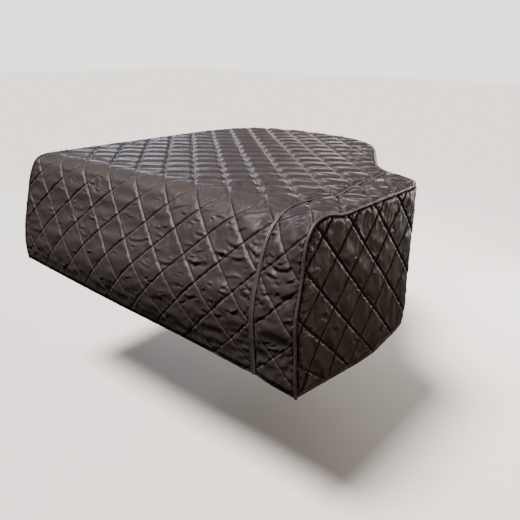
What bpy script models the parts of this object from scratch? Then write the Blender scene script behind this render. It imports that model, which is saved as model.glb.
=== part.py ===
"""Quilted cover for a grand piano, modelled in Blender as it hangs on the instrument.

Metres, +Z up. +X is the treble side, -Y the keyboard side, +Y the tail. The origin is on
the underside of the flat top, over the middle of the lid. Every piece of cloth is an open
surface given its thickness by Solidify, and the piped edge is a bevelled curve.
"""
import math

import bpy
from mathutils import Vector

# ---------------------------------------------------------------- driving sizes (metres)
HALF_WIDTH = 0.750          # middle of the lid to the piped edge at either side
LIP_Y = -0.550              # where the flat top ends and the front begins to fall
QUILT = 0.005               # thickness of the quilted cloth
PIPING_RADIUS = 0.0045      # corded edge
TAPE_WIDTH = 0.012          # bound tape over the join
TAPE_THICKNESS = 0.0012
GAP = 0.0003                # space between pieces that are sewn together
JOIN_GAP = 0.0014           # space in the join, under the tape, more as the cloth tilts there
TAPE_GAP = 0.0006           # tape to cloth, a little more because both are faceted

TOP_Z = QUILT / 2           # middle of the cloth's thickness on the flat top
CLOTH_INSET = PIPING_RADIUS + GAP
CORNER_INSET = CLOTH_INSET + 0.0012     # down the front corners, where both are faceted

# ---------------------------------------------------------------- the front, as it falls
# Distances down the front, measured along the cloth from the lip.
FALL_STATIONS = (0.00, 0.05, 0.10, 0.14, 0.18, 0.22, 0.28, 0.34, 0.42, 0.50, 0.58, 0.66, 0.74)

# One row for each section: name, x, length of cloth from lip to hem, and the angle that the
# cloth makes with the horizontal at each station, in degrees (90 hangs straight, more is
# drawn in under the keybed, less than zero rises).
FRONT_SECTIONS = (
    ("bass end",      -0.750, 0.530, (0, 12, 60, 68, 76, 76, 76, 78, 84, 97, 101, 107, 110)),
    ("middle",         0.000, 0.571, (0, 29, 54, 57, 60, 60, 60, 66, 86, 102, 110, 107, 104)),
    ("join",           0.589, 0.628, (0, 11, 29, 44, 59, 66, 71, 72, 89, 97, 95, 93, 97)),
    ("treble corner",  0.750, 0.712, (-6, -15, -2, 13, 44, 68, 87, 80, 77, 99, 91, 97, 98)),
)
FALL_STEP = 0.005           # step of the walk down each section

# ---------------------------------------------------------------- the plan outline
# Piped edge seen from above, from the treble side round the bentside and the tail to the
# spine. A smooth curve runs through the rows.
OUTLINE = (
    # x,      y
    (0.750, -0.115),
    (0.743, -0.050),
    (0.716,  0.006),
    (0.645,  0.058),
    (0.560,  0.100),
    (0.490,  0.166),
    (0.430,  0.258),
    (0.352,  0.397),
    (0.270,  0.548),
    (0.170,  0.680),
    (0.040,  0.766),
    (-0.120, 0.812),
    (-0.300, 0.824),
    (-0.450, 0.815),
    (-0.565, 0.775),
    (-0.655, 0.700),
    (-0.712, 0.600),
    (-0.740, 0.500),
    (-0.750, 0.400),
)
OUTLINE_STEPS = 4           # curve points from one row to the next
SIDE_STEP = 0.09            # spacing of the points along the two straight sides

# ---------------------------------------------------------------- the join on the top
# Where the treble strip is sewn to the main panel: it runs straight up the front, steps
# aside in a slack fold behind the lip, and drifts back towards the bentside.
JOIN = (
    # y,     x
    (-1.300, 0.589),
    (-0.500, 0.588),
    (-0.450, 0.598),
    (-0.405, 0.628),
    (-0.250, 0.600),
    (-0.120, 0.583),
    (0.120,  0.576),
)

# ---------------------------------------------------------------- the side skirt
SKIRT_ROWS = 12
SKIRT_FLARE = 0.024         # how far the treble side's hem stands out half way along
TREBLE_BLEND_Y = -0.420     # behind this the treble side hangs straight from the edge
BASS_BLEND_Y = -0.420
# Where the columns near each front corner start, as distances down the corner section.
TREBLE_CORNER_TOPS = (0.155, 0.105, 0.055, 0.000, -0.060)
BASS_CORNER_TOPS = (0.120, 0.080, 0.040, 0.000, -0.060)

# Height of the skirt's hem: distance round the edge, as a share of the whole, and z.
HEM_HEIGHTS = (
    (0.00, -0.526),
    (0.06, -0.552),
    (0.16, -0.548),
    (0.35, -0.535),
    (0.60, -0.510),
    (0.90, -0.478),
    (1.00, -0.449),
)


def lerp(a, b, t):
    """Value or vector a share t of the way from a to b."""
    return a + (b - a) * t


def table_value(rows, key):
    """Read a two-column table at key, straight between its rows."""
    if key <= rows[0][0]:
        return rows[0][1]
    for (k0, v0), (k1, v1) in zip(rows, rows[1:]):
        if key <= k1:
            return lerp(v0, v1, (key - k0) / (k1 - k0))
    return rows[-1][1]


def walk_section(angles):
    """Points (y, z) every FALL_STEP down one section of the front, from the lip."""
    rows = tuple(zip(FALL_STATIONS, angles))
    points = [(LIP_Y, TOP_Z)]
    for i in range(round(FALL_STATIONS[-1] / FALL_STEP)):
        angle = math.radians(table_value(rows, (i + 0.5) * FALL_STEP))
        y, z = points[-1]
        points.append((y - math.cos(angle) * FALL_STEP, z - math.sin(angle) * FALL_STEP))
    return points


SECTION_WALKS = [walk_section(angles) for _, _, _, angles in FRONT_SECTIONS]


def section_point(index, down):
    """Point (y, z) of one section, down metres along the cloth from the lip."""
    if down <= 0:
        return Vector((LIP_Y - down, TOP_Z))
    walk = SECTION_WALKS[index]
    step = min(down / FALL_STEP, len(walk) - 1.001)
    i = int(step)
    return lerp(Vector(walk[i]), Vector(walk[i + 1]), step - i)


def between_sections(x):
    """Index of the section to the left of x and the share of the way to the next one."""
    places = [row[1] for row in FRONT_SECTIONS]
    x = min(max(x, places[0]), places[-1])
    i = 0
    while i < len(places) - 2 and x > places[i + 1]:
        i += 1
    return i, (x - places[i]) / (places[i + 1] - places[i])


def front_length(x):
    """Length of cloth from the lip down to the hem at x."""
    i, share = between_sections(x)
    return lerp(FRONT_SECTIONS[i][2], FRONT_SECTIONS[i + 1][2], share)


def cloth_point(x, down):
    """Point of the top and front at x, down metres from the lip (negative on the top)."""
    i, share = between_sections(x)
    y, z = lerp(section_point(i, down), section_point(i + 1, down), share)
    return Vector((x, y, z))


def smooth_curve(points, steps):
    """Catmull-Rom curve through 2D points, with steps points for each span."""
    pts = [Vector(p) for p in points]
    pts = [pts[0] * 2 - pts[1]] + pts + [pts[-1] * 2 - pts[-2]]
    curve = []
    for i in range(1, len(pts) - 2):
        a, b, c, d = pts[i - 1:i + 3]
        for k in range(steps):
            t = k / steps
            curve.append(0.5 * ((2 * b) + (c - a) * t + (2 * a - 5 * b + 4 * c - d) * t * t
                                + (3 * b - a - 3 * c + d) * t ** 3))
    curve.append(pts[-2])
    return curve


def side_points(x, y_from, y_to):
    """Evenly spaced plan points along a straight side, without its two ends."""
    count = max(1, round(abs(y_to - y_from) / SIDE_STEP))
    return [Vector((x, lerp(y_from, y_to, k / count))) for k in range(1, count)]


def edge_plan():
    """Plan of the piped edge from the treble lip round the tail to the bass lip."""
    bend = smooth_curve(OUTLINE, OUTLINE_STEPS)
    treble = side_points(HALF_WIDTH, LIP_Y, OUTLINE[0][1])
    bass = side_points(-HALF_WIDTH, OUTLINE[-1][1], LIP_Y)
    return ([Vector((HALF_WIDTH, LIP_Y))] + treble + bend + bass
            + [Vector((-HALF_WIDTH, LIP_Y))])


def inward_normals(plan):
    """Unit normals of the plan, pointing to the middle of the lid."""
    normals = []
    for i in range(len(plan)):
        run = plan[min(i + 1, len(plan) - 1)] - plan[max(i - 1, 0)]
        normals.append(Vector((-run.y, run.x)).normalized())
    return normals


EDGE = edge_plan()
EDGE_NORMALS = inward_normals(EDGE)
CLOTH_EDGE = [p + n * CLOTH_INSET for p, n in zip(EDGE, EDGE_NORMALS)]


def back_edge_y(x):
    """Y of the back edge of the top at x, on the line where the cloth meets the piping."""
    for a, b in zip(CLOTH_EDGE, CLOTH_EDGE[1:]):
        if b.x < x <= a.x and a.x - b.x > 1e-9:
            return lerp(a.y, b.y, (a.x - x) / (a.x - b.x))
    side_end = OUTLINE[0] if x > 0 else OUTLINE[-1]
    return side_end[1]


def join_x(y):
    """X of the join at y."""
    return table_value(JOIN, y)


# ---------------------------------------------------------------- Blender helpers
def clear_scene():
    """Remove whatever the scene starts with."""
    for obj in list(bpy.data.objects):
        bpy.data.objects.remove(obj, do_unlink=True)


def make_material(name, color, roughness, metallic=0.0):
    """Principled material with a plain colour."""
    material = bpy.data.materials.new(name)
    material.use_nodes = True
    shader = material.node_tree.nodes["Principled BSDF"]
    shader.inputs["Base Color"].default_value = (*color, 1.0)
    shader.inputs["Roughness"].default_value = roughness
    shader.inputs["Metallic"].default_value = metallic
    material.diffuse_color = (*color, 1.0)
    return material


def add_object(collection, name, data, material):
    """Put a mesh or curve in the collection with its material."""
    data.materials.append(material)
    obj = bpy.data.objects.new(name, data)
    collection.objects.link(obj)
    return obj


def grid_mesh(name, rows):
    """Mesh of quads over a grid of points, given as a list of equally long rows."""
    width = len(rows[0])
    verts = [point for row in rows for point in row]
    faces = []
    for r in range(len(rows) - 1):
        for c in range(width - 1):
            corner = r * width + c
            faces.append((corner, corner + 1, corner + width + 1, corner + width))
    mesh = bpy.data.meshes.new(name)
    mesh.from_pydata(verts, [], faces)
    mesh.shade_smooth()
    return mesh


def add_sheet(collection, name, rows, material, thickness):
    """Sheet of cloth over a grid of points, its thickness shared to both sides."""
    sheet = add_object(collection, name, grid_mesh(name, rows), material)
    solid = sheet.modifiers.new("Thickness", "SOLIDIFY")
    solid.thickness = thickness
    solid.offset = 0.0
    solid.use_even_offset = True
    return sheet


# ---------------------------------------------------------------- top and front cloth
# Rows of the grid: along the front by distance from the lip, then shares of the flat top.
FRONT_ROWS = (1.00, 0.90, 0.80, 0.70, 0.61, 0.53, 0.45, 0.38, 0.31, 0.24, 0.18, 0.12, 0.06)
TOP_ROWS = (0.00, 0.03, 0.06, 0.10, 0.16, 0.24, 0.34, 0.46, 0.60, 0.74, 0.88, 1.00)
NARROWEST_COLUMN = 0.003    # as a share of the panel's width

def edge_columns(left_x, right_x):
    """Shares of the way across a panel at which its grid has a column.

    A column meets every point of the back edge where that turns inwards, so that no quad
    reaches into the piping, and every second point where it turns outwards.
    """
    shares = [0.0, 1.0]
    for i in range(1, len(CLOTH_EDGE) - 1):
        before, point, after = CLOTH_EDGE[i - 1:i + 2]
        share = (point.x - left_x(point.y)) / (right_x(point.y) - left_x(point.y))
        turns_in = (point - before).cross(after - point) < 0
        if NARROWEST_COLUMN < share < 1 - NARROWEST_COLUMN and (turns_in or i % 2 == 0):
            shares.append(share)
    return sorted(shares)


def panel_rows(left_x, right_x, columns=None):
    """Grid rows of a panel of the top and front, between two edges given as x of y."""
    columns = columns or edge_columns(left_x, right_x)
    rows = []
    for share in FRONT_ROWS:
        row = []
        for column in columns:
            x = lerp(left_x(-1.0), right_x(-1.0), column)
            row.append(cloth_point(x, share * front_length(x)))
        rows.append(row)
    for share in TOP_ROWS:
        row = []
        for column in columns:
            x = lerp(left_x(LIP_Y), right_x(LIP_Y), column)
            for _ in range(4):
                y = lerp(LIP_Y, back_edge_y(x), share)
                x = lerp(left_x(y), right_x(y), column)
            row.append(Vector((x, lerp(LIP_Y, back_edge_y(x), share), TOP_Z)))
        rows.append(row)
    return rows


def add_main_panel(collection, material):
    """Top and front in one piece, from the spine to the join."""
    rows = panel_rows(lambda y: -HALF_WIDTH + CLOTH_INSET,
                      lambda y: join_x(y) - JOIN_GAP / 2)
    return add_sheet(collection, "main_panel", rows, material, QUILT)


def add_treble_strip(collection, material):
    """Strip that makes up the width on the treble side, over the front and the top."""
    rows = panel_rows(lambda y: join_x(y) + JOIN_GAP / 2,
                      lambda y: HALF_WIDTH - CLOTH_INSET)
    return add_sheet(collection, "treble_strip", rows, material, QUILT)


def add_join_tape(collection, material):
    """Bound tape that covers the join, from the front hem to the bentside."""
    lift = QUILT / 2 + TAPE_GAP + TAPE_THICKNESS / 2
    cloth = panel_rows(lambda y: join_x(y) - TAPE_WIDTH / 2,
                       lambda y: join_x(y) + TAPE_WIDTH / 2,
                       columns=(0.0, 0.5, 1.0))
    rows = []
    for i, row in enumerate(cloth):
        run = cloth[min(i + 1, len(cloth) - 1)][1] - cloth[max(i - 1, 0)][1]
        outward = Vector((1.0, 0.0, 0.0)).cross(run).normalized()
        rows.append([point + outward * lift for point in row])
    return add_sheet(collection, "join_tape", rows, material, TAPE_THICKNESS)


# ---------------------------------------------------------------- piping and skirt
def corner_walk(index, down_from, down_to, steps):
    """Points (y, z) of a corner section from one distance down the front to another."""
    return [section_point(index, lerp(down_from, down_to, k / steps)) for k in range(steps + 1)]


def add_edge_piping(collection, material):
    """Corded piping: up the treble corner, round the top's edge and down the bass corner."""
    treble_length = FRONT_SECTIONS[-1][2]
    bass_length = FRONT_SECTIONS[0][2]
    path = [Vector((HALF_WIDTH, y, z)) for y, z in corner_walk(-1, treble_length, 0.0, 34)]
    path += [Vector((p.x, p.y, TOP_Z)) for p in EDGE[1:-1]]
    path += [Vector((-HALF_WIDTH, y, z)) for y, z in corner_walk(0, 0.0, bass_length, 24)]
    curve = bpy.data.curves.new("edge_piping", "CURVE")
    curve.dimensions = "3D"
    curve.bevel_depth = PIPING_RADIUS
    curve.bevel_resolution = 2
    curve.use_fill_caps = True
    spline = curve.splines.new("POLY")
    spline.points.add(len(path) - 1)
    for spot, point in zip(spline.points, path):
        spot.co = (*point, 1.0)
    return add_object(collection, "edge_piping", curve, material)


def inset_edge(index, down_from, down_to, steps):
    """Skirt's front edge: a corner section set in by the piping, in the side's plane."""
    walk = corner_walk(index, down_from, down_to, steps)
    edge = []
    for i, point in enumerate(walk):
        run = walk[min(i + 1, steps)] - walk[max(i - 1, 0)]
        inward = Vector((-run.y, run.x)).normalized()
        edge.append(point + inward * CORNER_INSET)
    return edge


def top_under_piping(index, down):
    """Point (y, z) of the skirt's top edge under the piping of a corner section."""
    run = section_point(index, down + FALL_STEP) - section_point(index, down - FALL_STEP)
    inward = Vector((-run.y, run.x)).normalized()
    return section_point(index, down) + inward * CORNER_INSET


def corner_columns(index, x, tops, blend_y, hem_at_blend):
    """Columns of the skirt from a front corner back to where it hangs straight.

    Each column keeps a fading share of the bow that the corner section has.
    """
    front = inset_edge(index, tops[0], FRONT_SECTIONS[index][2], SKIRT_ROWS)
    columns = []
    for c, top_down in enumerate(tops):
        share = c / len(tops)
        top = top_under_piping(index, top_down)
        hem = lerp(front[-1], Vector((blend_y, hem_at_blend)), share)
        column = []
        for r in range(SKIRT_ROWS + 1):
            down = r / SKIRT_ROWS
            bow = front[r] - lerp(front[0], front[-1], down)
            y, z = lerp(top, hem, down) + bow * (1 - share) ** 1.5
            column.append(Vector((x, y, z)))
        columns.append(column)
    return columns


def skirt_columns():
    """Columns of the skirt, top to hem, from the treble corner round to the bass corner."""
    inner = [p for p in EDGE[::2]
             if not (p.x > 0 and p.y < TREBLE_BLEND_Y) and not (p.x < 0 and p.y < BASS_BLEND_Y)]
    inner = ([Vector((HALF_WIDTH, TREBLE_BLEND_Y))] + inner
             + [Vector((-HALF_WIDTH, BASS_BLEND_Y))])
    normals = inward_normals(inner)
    distances = [0.0]
    for a, b in zip(inner, inner[1:]):
        distances.append(distances[-1] + (b - a).length)
    treble_side = (OUTLINE[0][1] - TREBLE_BLEND_Y)
    top_z = TOP_Z - CLOTH_INSET
    straight = []
    for point, normal, distance in zip(inner, normals, distances):
        hem_z = table_value(HEM_HEIGHTS, 0.06 + 0.88 * distance / distances[-1])
        flare = SKIRT_FLARE * max(0.0, 1 - abs(distance / treble_side - 0.35) / 1.1)
        column = []
        for r in range(SKIRT_ROWS + 1):
            down = r / SKIRT_ROWS
            out = point - normal * flare * down ** 1.6
            column.append(Vector((out.x, out.y, lerp(top_z, hem_z, down))))
        straight.append(column)
    treble = corner_columns(len(FRONT_SECTIONS) - 1, HALF_WIDTH, TREBLE_CORNER_TOPS,
                            TREBLE_BLEND_Y, straight[0][-1].z)
    bass = corner_columns(0, -HALF_WIDTH, BASS_CORNER_TOPS, BASS_BLEND_Y, straight[-1][-1].z)
    for c, column in enumerate(treble):
        for r, point in enumerate(column):
            point.x += (straight[0][r].x - HALF_WIDTH) * c / len(treble)
    return treble + straight + bass[::-1]


def add_side_skirt(collection, material):
    """Skirt round the treble side, the bentside, the tail and the spine."""
    return add_sheet(collection, "side_skirt", skirt_columns(), material, QUILT)


def main():
    """Build the cover in its own collection."""
    clear_scene()
    collection = bpy.data.collections.new("grand_piano_cover")
    bpy.context.scene.collection.children.link(collection)
    quilted = make_material("quilted_nylon", (0.045, 0.037, 0.035), 0.42)
    side = make_material("quilted_nylon_side", (0.038, 0.031, 0.028), 0.42)
    binding = make_material("nylon_binding", (0.020, 0.017, 0.016), 0.50)
    add_main_panel(collection, quilted)
    add_treble_strip(collection, quilted.copy())
    add_join_tape(collection, binding)
    add_side_skirt(collection, side)
    add_edge_piping(collection, binding.copy())


main()
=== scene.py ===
import math

import bpy
import numpy as np
from mathutils import Matrix, Vector, geometry, kdtree, noise


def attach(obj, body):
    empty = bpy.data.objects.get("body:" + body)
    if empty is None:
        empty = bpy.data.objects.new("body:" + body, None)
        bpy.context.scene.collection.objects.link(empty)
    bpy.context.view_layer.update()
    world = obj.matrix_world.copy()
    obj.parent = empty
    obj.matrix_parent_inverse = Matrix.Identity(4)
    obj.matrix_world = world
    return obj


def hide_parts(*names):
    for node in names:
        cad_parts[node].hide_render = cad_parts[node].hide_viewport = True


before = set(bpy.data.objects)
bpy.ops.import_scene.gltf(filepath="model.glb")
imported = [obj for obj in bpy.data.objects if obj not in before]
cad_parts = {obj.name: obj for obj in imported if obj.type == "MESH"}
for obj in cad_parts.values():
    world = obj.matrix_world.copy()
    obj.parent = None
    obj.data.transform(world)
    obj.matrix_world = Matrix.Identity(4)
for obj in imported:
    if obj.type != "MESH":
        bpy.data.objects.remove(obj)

bl_info = {
    "name": "Quilted grand piano cover",
    "version": (1, 0, 0),
    "blender": (4, 5, 0),
    "location": "3D View > Sidebar > Piano Cover",
    "description": "Builds the quilted cloth, join tape and piping of a grand piano cover",
    "category": "Add Mesh",
}

# ------------------------------------------------------- sizes shared with the frame (metres)
HALF_WIDTH = 0.750          # middle of the lid to the piped edge at either side
LIP_Y = -0.550              # where the flat top ends and the front begins to fall
QUILT = 0.005               # thickness of the quilted cloth at rest
PIPING_RADIUS = 0.0045
GAP = 0.0003
JOIN_GAP = 0.0014
TOP_Z = QUILT / 2           # middle of the cloth's thickness on the flat top
CLOTH_INSET = PIPING_RADIUS + GAP
CORNER_INSET = CLOTH_INSET + 0.0012

# Distances down the front, measured along the cloth from the lip.
FALL_STATIONS = (0.00, 0.05, 0.10, 0.14, 0.18, 0.22, 0.28, 0.34, 0.42, 0.50, 0.58, 0.66, 0.74)
# Sections of the front: x, length of cloth from lip to hem, and the angle that the cloth
# makes with the horizontal at each station, in degrees.
FRONT_SECTIONS = (
    (-0.750, 0.530, (0, 12, 60, 68, 76, 76, 76, 78, 84, 97, 101, 107, 110)),
    (0.000, 0.571, (0, 29, 54, 57, 60, 60, 60, 66, 86, 102, 110, 107, 104)),
    (0.589, 0.628, (0, 11, 29, 44, 59, 66, 71, 72, 89, 97, 95, 93, 97)),
    (0.750, 0.712, (-6, -15, -2, 13, 44, 68, 87, 80, 77, 99, 91, 97, 98)),
)
FALL_STEP = 0.005
SECTION_BLEND = 0.055       # the sections run into each other over this far to either side
BLEND_SHARES = (-1, -0.5, 0, 0.5, 1)    # and are averaged at these shares of it

# Piped edge seen from above, from the treble side round the bentside and tail to the spine.
OUTLINE = (
    (0.750, -0.115), (0.743, -0.050), (0.716, 0.006), (0.645, 0.058), (0.560, 0.100),
    (0.490, 0.166), (0.430, 0.258), (0.352, 0.397), (0.270, 0.548), (0.170, 0.680),
    (0.040, 0.766), (-0.120, 0.812), (-0.300, 0.824), (-0.450, 0.815), (-0.565, 0.775),
    (-0.655, 0.700), (-0.712, 0.600), (-0.740, 0.500), (-0.750, 0.400),
)
OUTLINE_STEPS = 12
SIDE_STEP = 0.02

# The join on the top: y, x.
JOIN = (
    (-1.300, 0.589), (-0.500, 0.588), (-0.450, 0.598), (-0.405, 0.628), (-0.250, 0.600),
    (-0.120, 0.583), (0.120, 0.576),
)
ON_FRONT = -1.0             # stands for any y down the front, where the join runs straight

# The side skirt. It flares to its hem most near the middle of the treble side, behind the
# places where it blends into the front corners.
SKIRT_FLARE = 0.024
FLARE_MIDDLE, FLARE_REACH = 0.35, 1.1       # as shares of the treble side
FLARE_CURVE = 1.6           # power of the depth with which it flares
SHORTEST_BLEND = 0.01       # from the corner seam to where the flare is full
TREBLE_BLEND_Y = -0.420
BASS_BLEND_Y = -0.420
TREBLE_TOP_DOWN = 0.155     # the corner seam starts this far down the treble corner section
BASS_TOP_DOWN = 0.120
CORNER_TOP_ENDS = -0.060    # the skirt's top edge follows the corner section to here
CORNER_SHARE = 0.06         # share of the way round that each corner takes
HEM_HEIGHTS = (             # share of the way round, z
    (0.00, -0.526), (0.06, -0.552), (0.16, -0.548), (0.35, -0.535), (0.60, -0.510),
    (0.90, -0.478), (1.00, -0.449),
)

# ------------------------------------------------------- quilting (metres)
# Stitch lines cross in two families. A line of a family lies wherever
# across * u + along * v + offset is a whole number, u and v being places in the flat cloth.
# The strip was quilted apart from the main panel, so its lines don't meet that one's.
MAIN_QUILTING = ((1 / 0.1565, 1 / 0.1555, 0.110), (1 / 0.1565, -1 / 0.1555, 0.472))
STRIP_QUILTING = ((1.40943 / 0.1675, 1 / 0.1675, -0.55007 / 0.1675),
                  (0.59057 / 0.16, -1 / 0.16, -0.63893 / 0.16))
SIDE_QUILTING = ((1 / 0.1645, 1 / 0.1645, 0.155 / 0.1645), (1 / 0.167, -1 / 0.167, 0.085 / 0.167))
# For each family: how far its stitches draw the wadding down, as a share of its height, and
# how far above and below them it is back at its height. It sags over the stitches under it.
HEM_DRAWN = ((0.45, 0.0040, 0.0080), (0.30, 0.0050, 0.0080))
FRONT_DRAWN = ((0.75, 0.0040, 0.0120), (1.00, 0.0050, 0.0095))
LIP_DRAWN = ((0.40, 0.0060, 0.0100), (0.30, 0.0080, 0.0100))
TOP_DRAWN = ((1.00, 0.0140, 0.0140), (1.00, 0.0430, 0.0430))
SIDE_DRAWN = ((1.00, 0.0070, 0.0100), (0.80, 0.0130, 0.0055))
# Each region runs into the next between two places up the flat cloth, or for the hem between
# two heights above it. The first is where it has none of the region, the second all.
TOP_FROM = (-0.04, 0.04)
FRONT_FROM = (-0.10, -0.16)
HEM_FROM = (0.24, 0.08)
CRUMPLED_FROM = (-0.06, -0.18)
CRUMPLED_REACH = 0.30       # the front is crumpled this far from the join
FRONT_PUFF, SIDE_PUFF = 0.35, 0.8       # how puffed up the wadding is, where 1 is the top's
# The stitch lines of the skirt are dragged along it most at this place round it, this far at
# the hem, dying away over these distances along and up.
DRAG_PLACE, DRAG, DRAG_REACH = -0.18, 0.065, (0.20, 0.27)
MOST_DRAG = 1.2             # and no more than this share of it past the hem
DIAMOND = 0.110             # between one stitch line and the next of its family
EDGE_SPACING = 0.006        # points along the cut edge of a panel
EDGE_CLEAR = 0.62           # points inside stay this share of that spacing off the cut edge
FACE_DIVISIONS = 19         # grid of the face cloth for each quilted diamond
EVEN_SHARE = 0.4            # of that grid; the rest of it closes up towards the stitches
LINING_DIVISIONS = 6
STITCH_DEPTH = 0.0010       # the stitches hold the face this far under the middle of the cloth
ROLL = 0.013                # the wadding rises to its height this far from a seam or an edge
DOME_REACH = 0.030          # and domes a little more over about this distance
HEM_FOLD = 0.013            # the hem is stitched this far above its edge
HEM_CLEAR = HEM_FOLD / 5    # the grid keeps this far off the hem's stitches
ON_HEM = 1e-6               # a point of the outline this near the hem's edge is on it
HEM_RISE = 0.0032           # height of the turned-up hem between its edge and its stitches
CREASES_START = 0.015       # creases are at their height this far from a seam or an edge
EDGE_SEWN = 0.003           # the cloth is sewn down within this of its cut edge
ON_STITCHES = 0.0004        # and a point this near a stitch line is held by it
UNDER_TAPE = 0.0022         # height of the cloth where the tape is sewn over it
LEAST_LOFT = 0.45           # share of the wadding's height left where the cloth is drawn flat
HIGHEST_LOFT = 0.016
LINING_LOFT = 0.002
LINING_GAP = 0.0008

# The tape over the join: places down the cloth and its half width there, and its section
# as shares of the half width and heights over the cloth under it.
TAPE_WIDTH_PLACES = (-0.40, -0.15)
TAPE_HALF_WIDTHS = (0.0095, 0.0055)
TAPE_BASE = 0.0028
TAPE_SECTION = (
    (-1.00, 0.0000), (-0.96, 0.0012), (-0.80, 0.0027), (-0.55, 0.0030), (-0.30, 0.0012),
    (0.00, 0.0003), (0.30, 0.0012), (0.55, 0.0030), (0.80, 0.0027), (0.96, 0.0012),
    (1.00, 0.0000), (0.60, -0.0002), (0.00, -0.0002), (-0.60, -0.0002),
)
TAPE_STEP = 0.004
TAPE_UNEVEN = 0.35          # its edges stand up to this share higher or lower
TAPE_UNEVEN_REACH = 0.018
TAPE_SEED = 5
PIPING_STEP = 0.0045
PIPING_SIDES = 12
PIPING_WRINKLE = 0.0018     # height of the wrinkles in the cloth over the cord
PIPING_WRINKLE_LENGTH = 0.007
PIPING_WRINKLE_ROUND = 1.2  # how much they differ from one side of the cord to the other

# Finishes
UNEVEN_DYE = 0.140          # patches of deeper and paler dye
CRINKLE = 0.012             # fine creases of the coated cloth
CRINKLE_DEPTH = 0.002
TOP_STREAKS = (0.45, 1.0, 1.0)      # its creases are drawn out across the piano
SIDE_STREAKS = (1.0, 0.35, 1.0)     # and on the skirt they hang down
THREAD = 0.0011             # drawn coarser than the real 0.15 mm, which is too fine to show
THREAD_DEPTH = 0.0001
FACE_WEAVE, BIAS_WEAVE, LINING_WEAVE = 0.3, 0.4, 0.6        # how strongly the weave shows
SMOOTHEST, ROUGHEST = 0.48, 0.58    # roughness of the pressed face, unevenly
TAPE_ROUGHNESS, PIPING_ROUGHNESS, LINING_ROUGHNESS = 0.50, 0.48, 0.75
# Where the cloth hangs, shade is painted into the colour on one side of each family of stitches,
# where the wadding would hide the light, and a highlight is painted on the other: which way across
# the family the painted shade lies, how far it reaches, and how many times paler the painted
# highlight is.
TOP_PAINTED_SEAM_LIGHT = ((1, 0.0130, 2.0), (-1, 0.0075, 3.0))
SIDE_PAINTED_SEAM_LIGHT = ((1, 0.0090, 1.8), (1, 0.0050, 3.0))
PAINTED_SHADE_TONE = 0.06            # what the painted shade keeps of the cloth's tone
TOP_HANGS_FROM = -0.02      # place up the cloth under which it hangs: here below the lip
SIDE_HANGS_FROM = 0.10      # and on the skirt everywhere
HANGS_WITHIN = 0.07         # the painted shade and painted highlight take this far to come in
TOP_SEAMS = TOP_STREAKS, TOP_PAINTED_SEAM_LIGHT, TOP_HANGS_FROM
SIDE_SEAMS = SIDE_STREAKS, SIDE_PAINTED_SEAM_LIGHT, SIDE_HANGS_FROM
SEAM_DARK = 0.0004          # the painted shade is at its deepest within this
PAINTED_HIGHLIGHT_REACH = 0.006              # and the painted highlight reaches this far
STITCH = 0.004              # length of one stitch, with the gap after it
STITCH_SHOWS = 0.7          # share of it in which the thread shows
THREAD_WIDTH = 0.0009
BIAS_WRINKLE = 0.006
DEEPER_DYE_AND_SHADE = 0.6                # what deeper dye, and the painted shade in the wrinkles of the bias nylon, leaves of a colour
COATING_IOR, FIBRE_IOR = 1.42, 1.53
WAVE_BAND = 2 * math.pi / 20        # between the bands of Blender's wave texture at scale 1

# Stage
FLOOR_Z = -1.0              # the floor under a piano whose lid is a metre up
FLOOR_SIZE = 60.0
OVERHEAD_FROM = (-0.18, -0.36, 0.91)
OVERHEAD_WIDTH = 20         # degrees across, seen from the cover
OVERHEAD_COLOR = "#fff5f0"
FLOOR_COLOR, FLOOR_THROWS = "#efedea", "#262422"
WORLD_SEEN, WORLD_LIGHT = ("#f6f5f3", 2.4), ("#bcc0c6", 0.06)      # colour and strength
# Area lights: the place of each, what it points at, its size and its colour. The setting of
# the same name is its power.
LIGHTS = {
    "window": ((-3.6, 2.2, 1.1), (-0.4, 0.0, 0.0), (1.2, 0.6), "#d6dff4"),
    "tail_window": ((-1.3, 3.2, 0.5), (0.1, 0.5, 0.0), (1.4, 0.6), "#fff2e4"),
    "treble_lamp": ((1.5, 2.2, 0.05), (0.75, -0.1, -0.25), (0.6, 0.6), "#fff6ee"),
    "treble_fill": ((2.8, -0.3, -0.5), (0.75, -0.5, -0.42), (0.5, 0.5), "#ffe8d4"),
    "far_lamp": ((-0.75, 2.6, 0.45), (0.1, 0.7, 0.0), (0.8, 0.2), "#fff4e6"),
}
CAMERA_PLACE = (1.5558, -1.978, 0.4534)
CAMERA_YAW, CAMERA_PITCH, CAMERA_ROLL = 38.0523, 20.2925, 0.986
CAMERA_LENS = 39.58
CAMERA_SENSOR = 36.0

# Letting the face cloth settle: a light, limp cloth that the wadding pushes out.
LIMP_CLOTH = {
    "quality": 3, "mass": 0.1, "tension_stiffness": 15, "compression_stiffness": 15,
    "shear_stiffness": 5, "bending_stiffness": 0.5, "air_damping": 2, "use_pressure": True,
    "uniform_pressure_force": 0.7,
}
SAG = 0.10                  # share of gravity
CLOTH_FRAMES = 10
MOST_EASE = 0.05            # most extra length of the face cloth, which gathers into puckers
EASE_LEVELS = 20
# How loose the face is, as shares of the most ease: everywhere, beside the stitches, beside
# the cut edge, and unevenly; and how far each reaches.
EASE, STITCH_EASE, EDGE_EASE, UNEVEN_EASE = 0.20, 0.30, 0.60, 0.3
STITCH_EASE_REACH, EDGE_EASE_REACH, UNEVEN_EASE_REACH = 0.014, 0.08, 0.22

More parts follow.
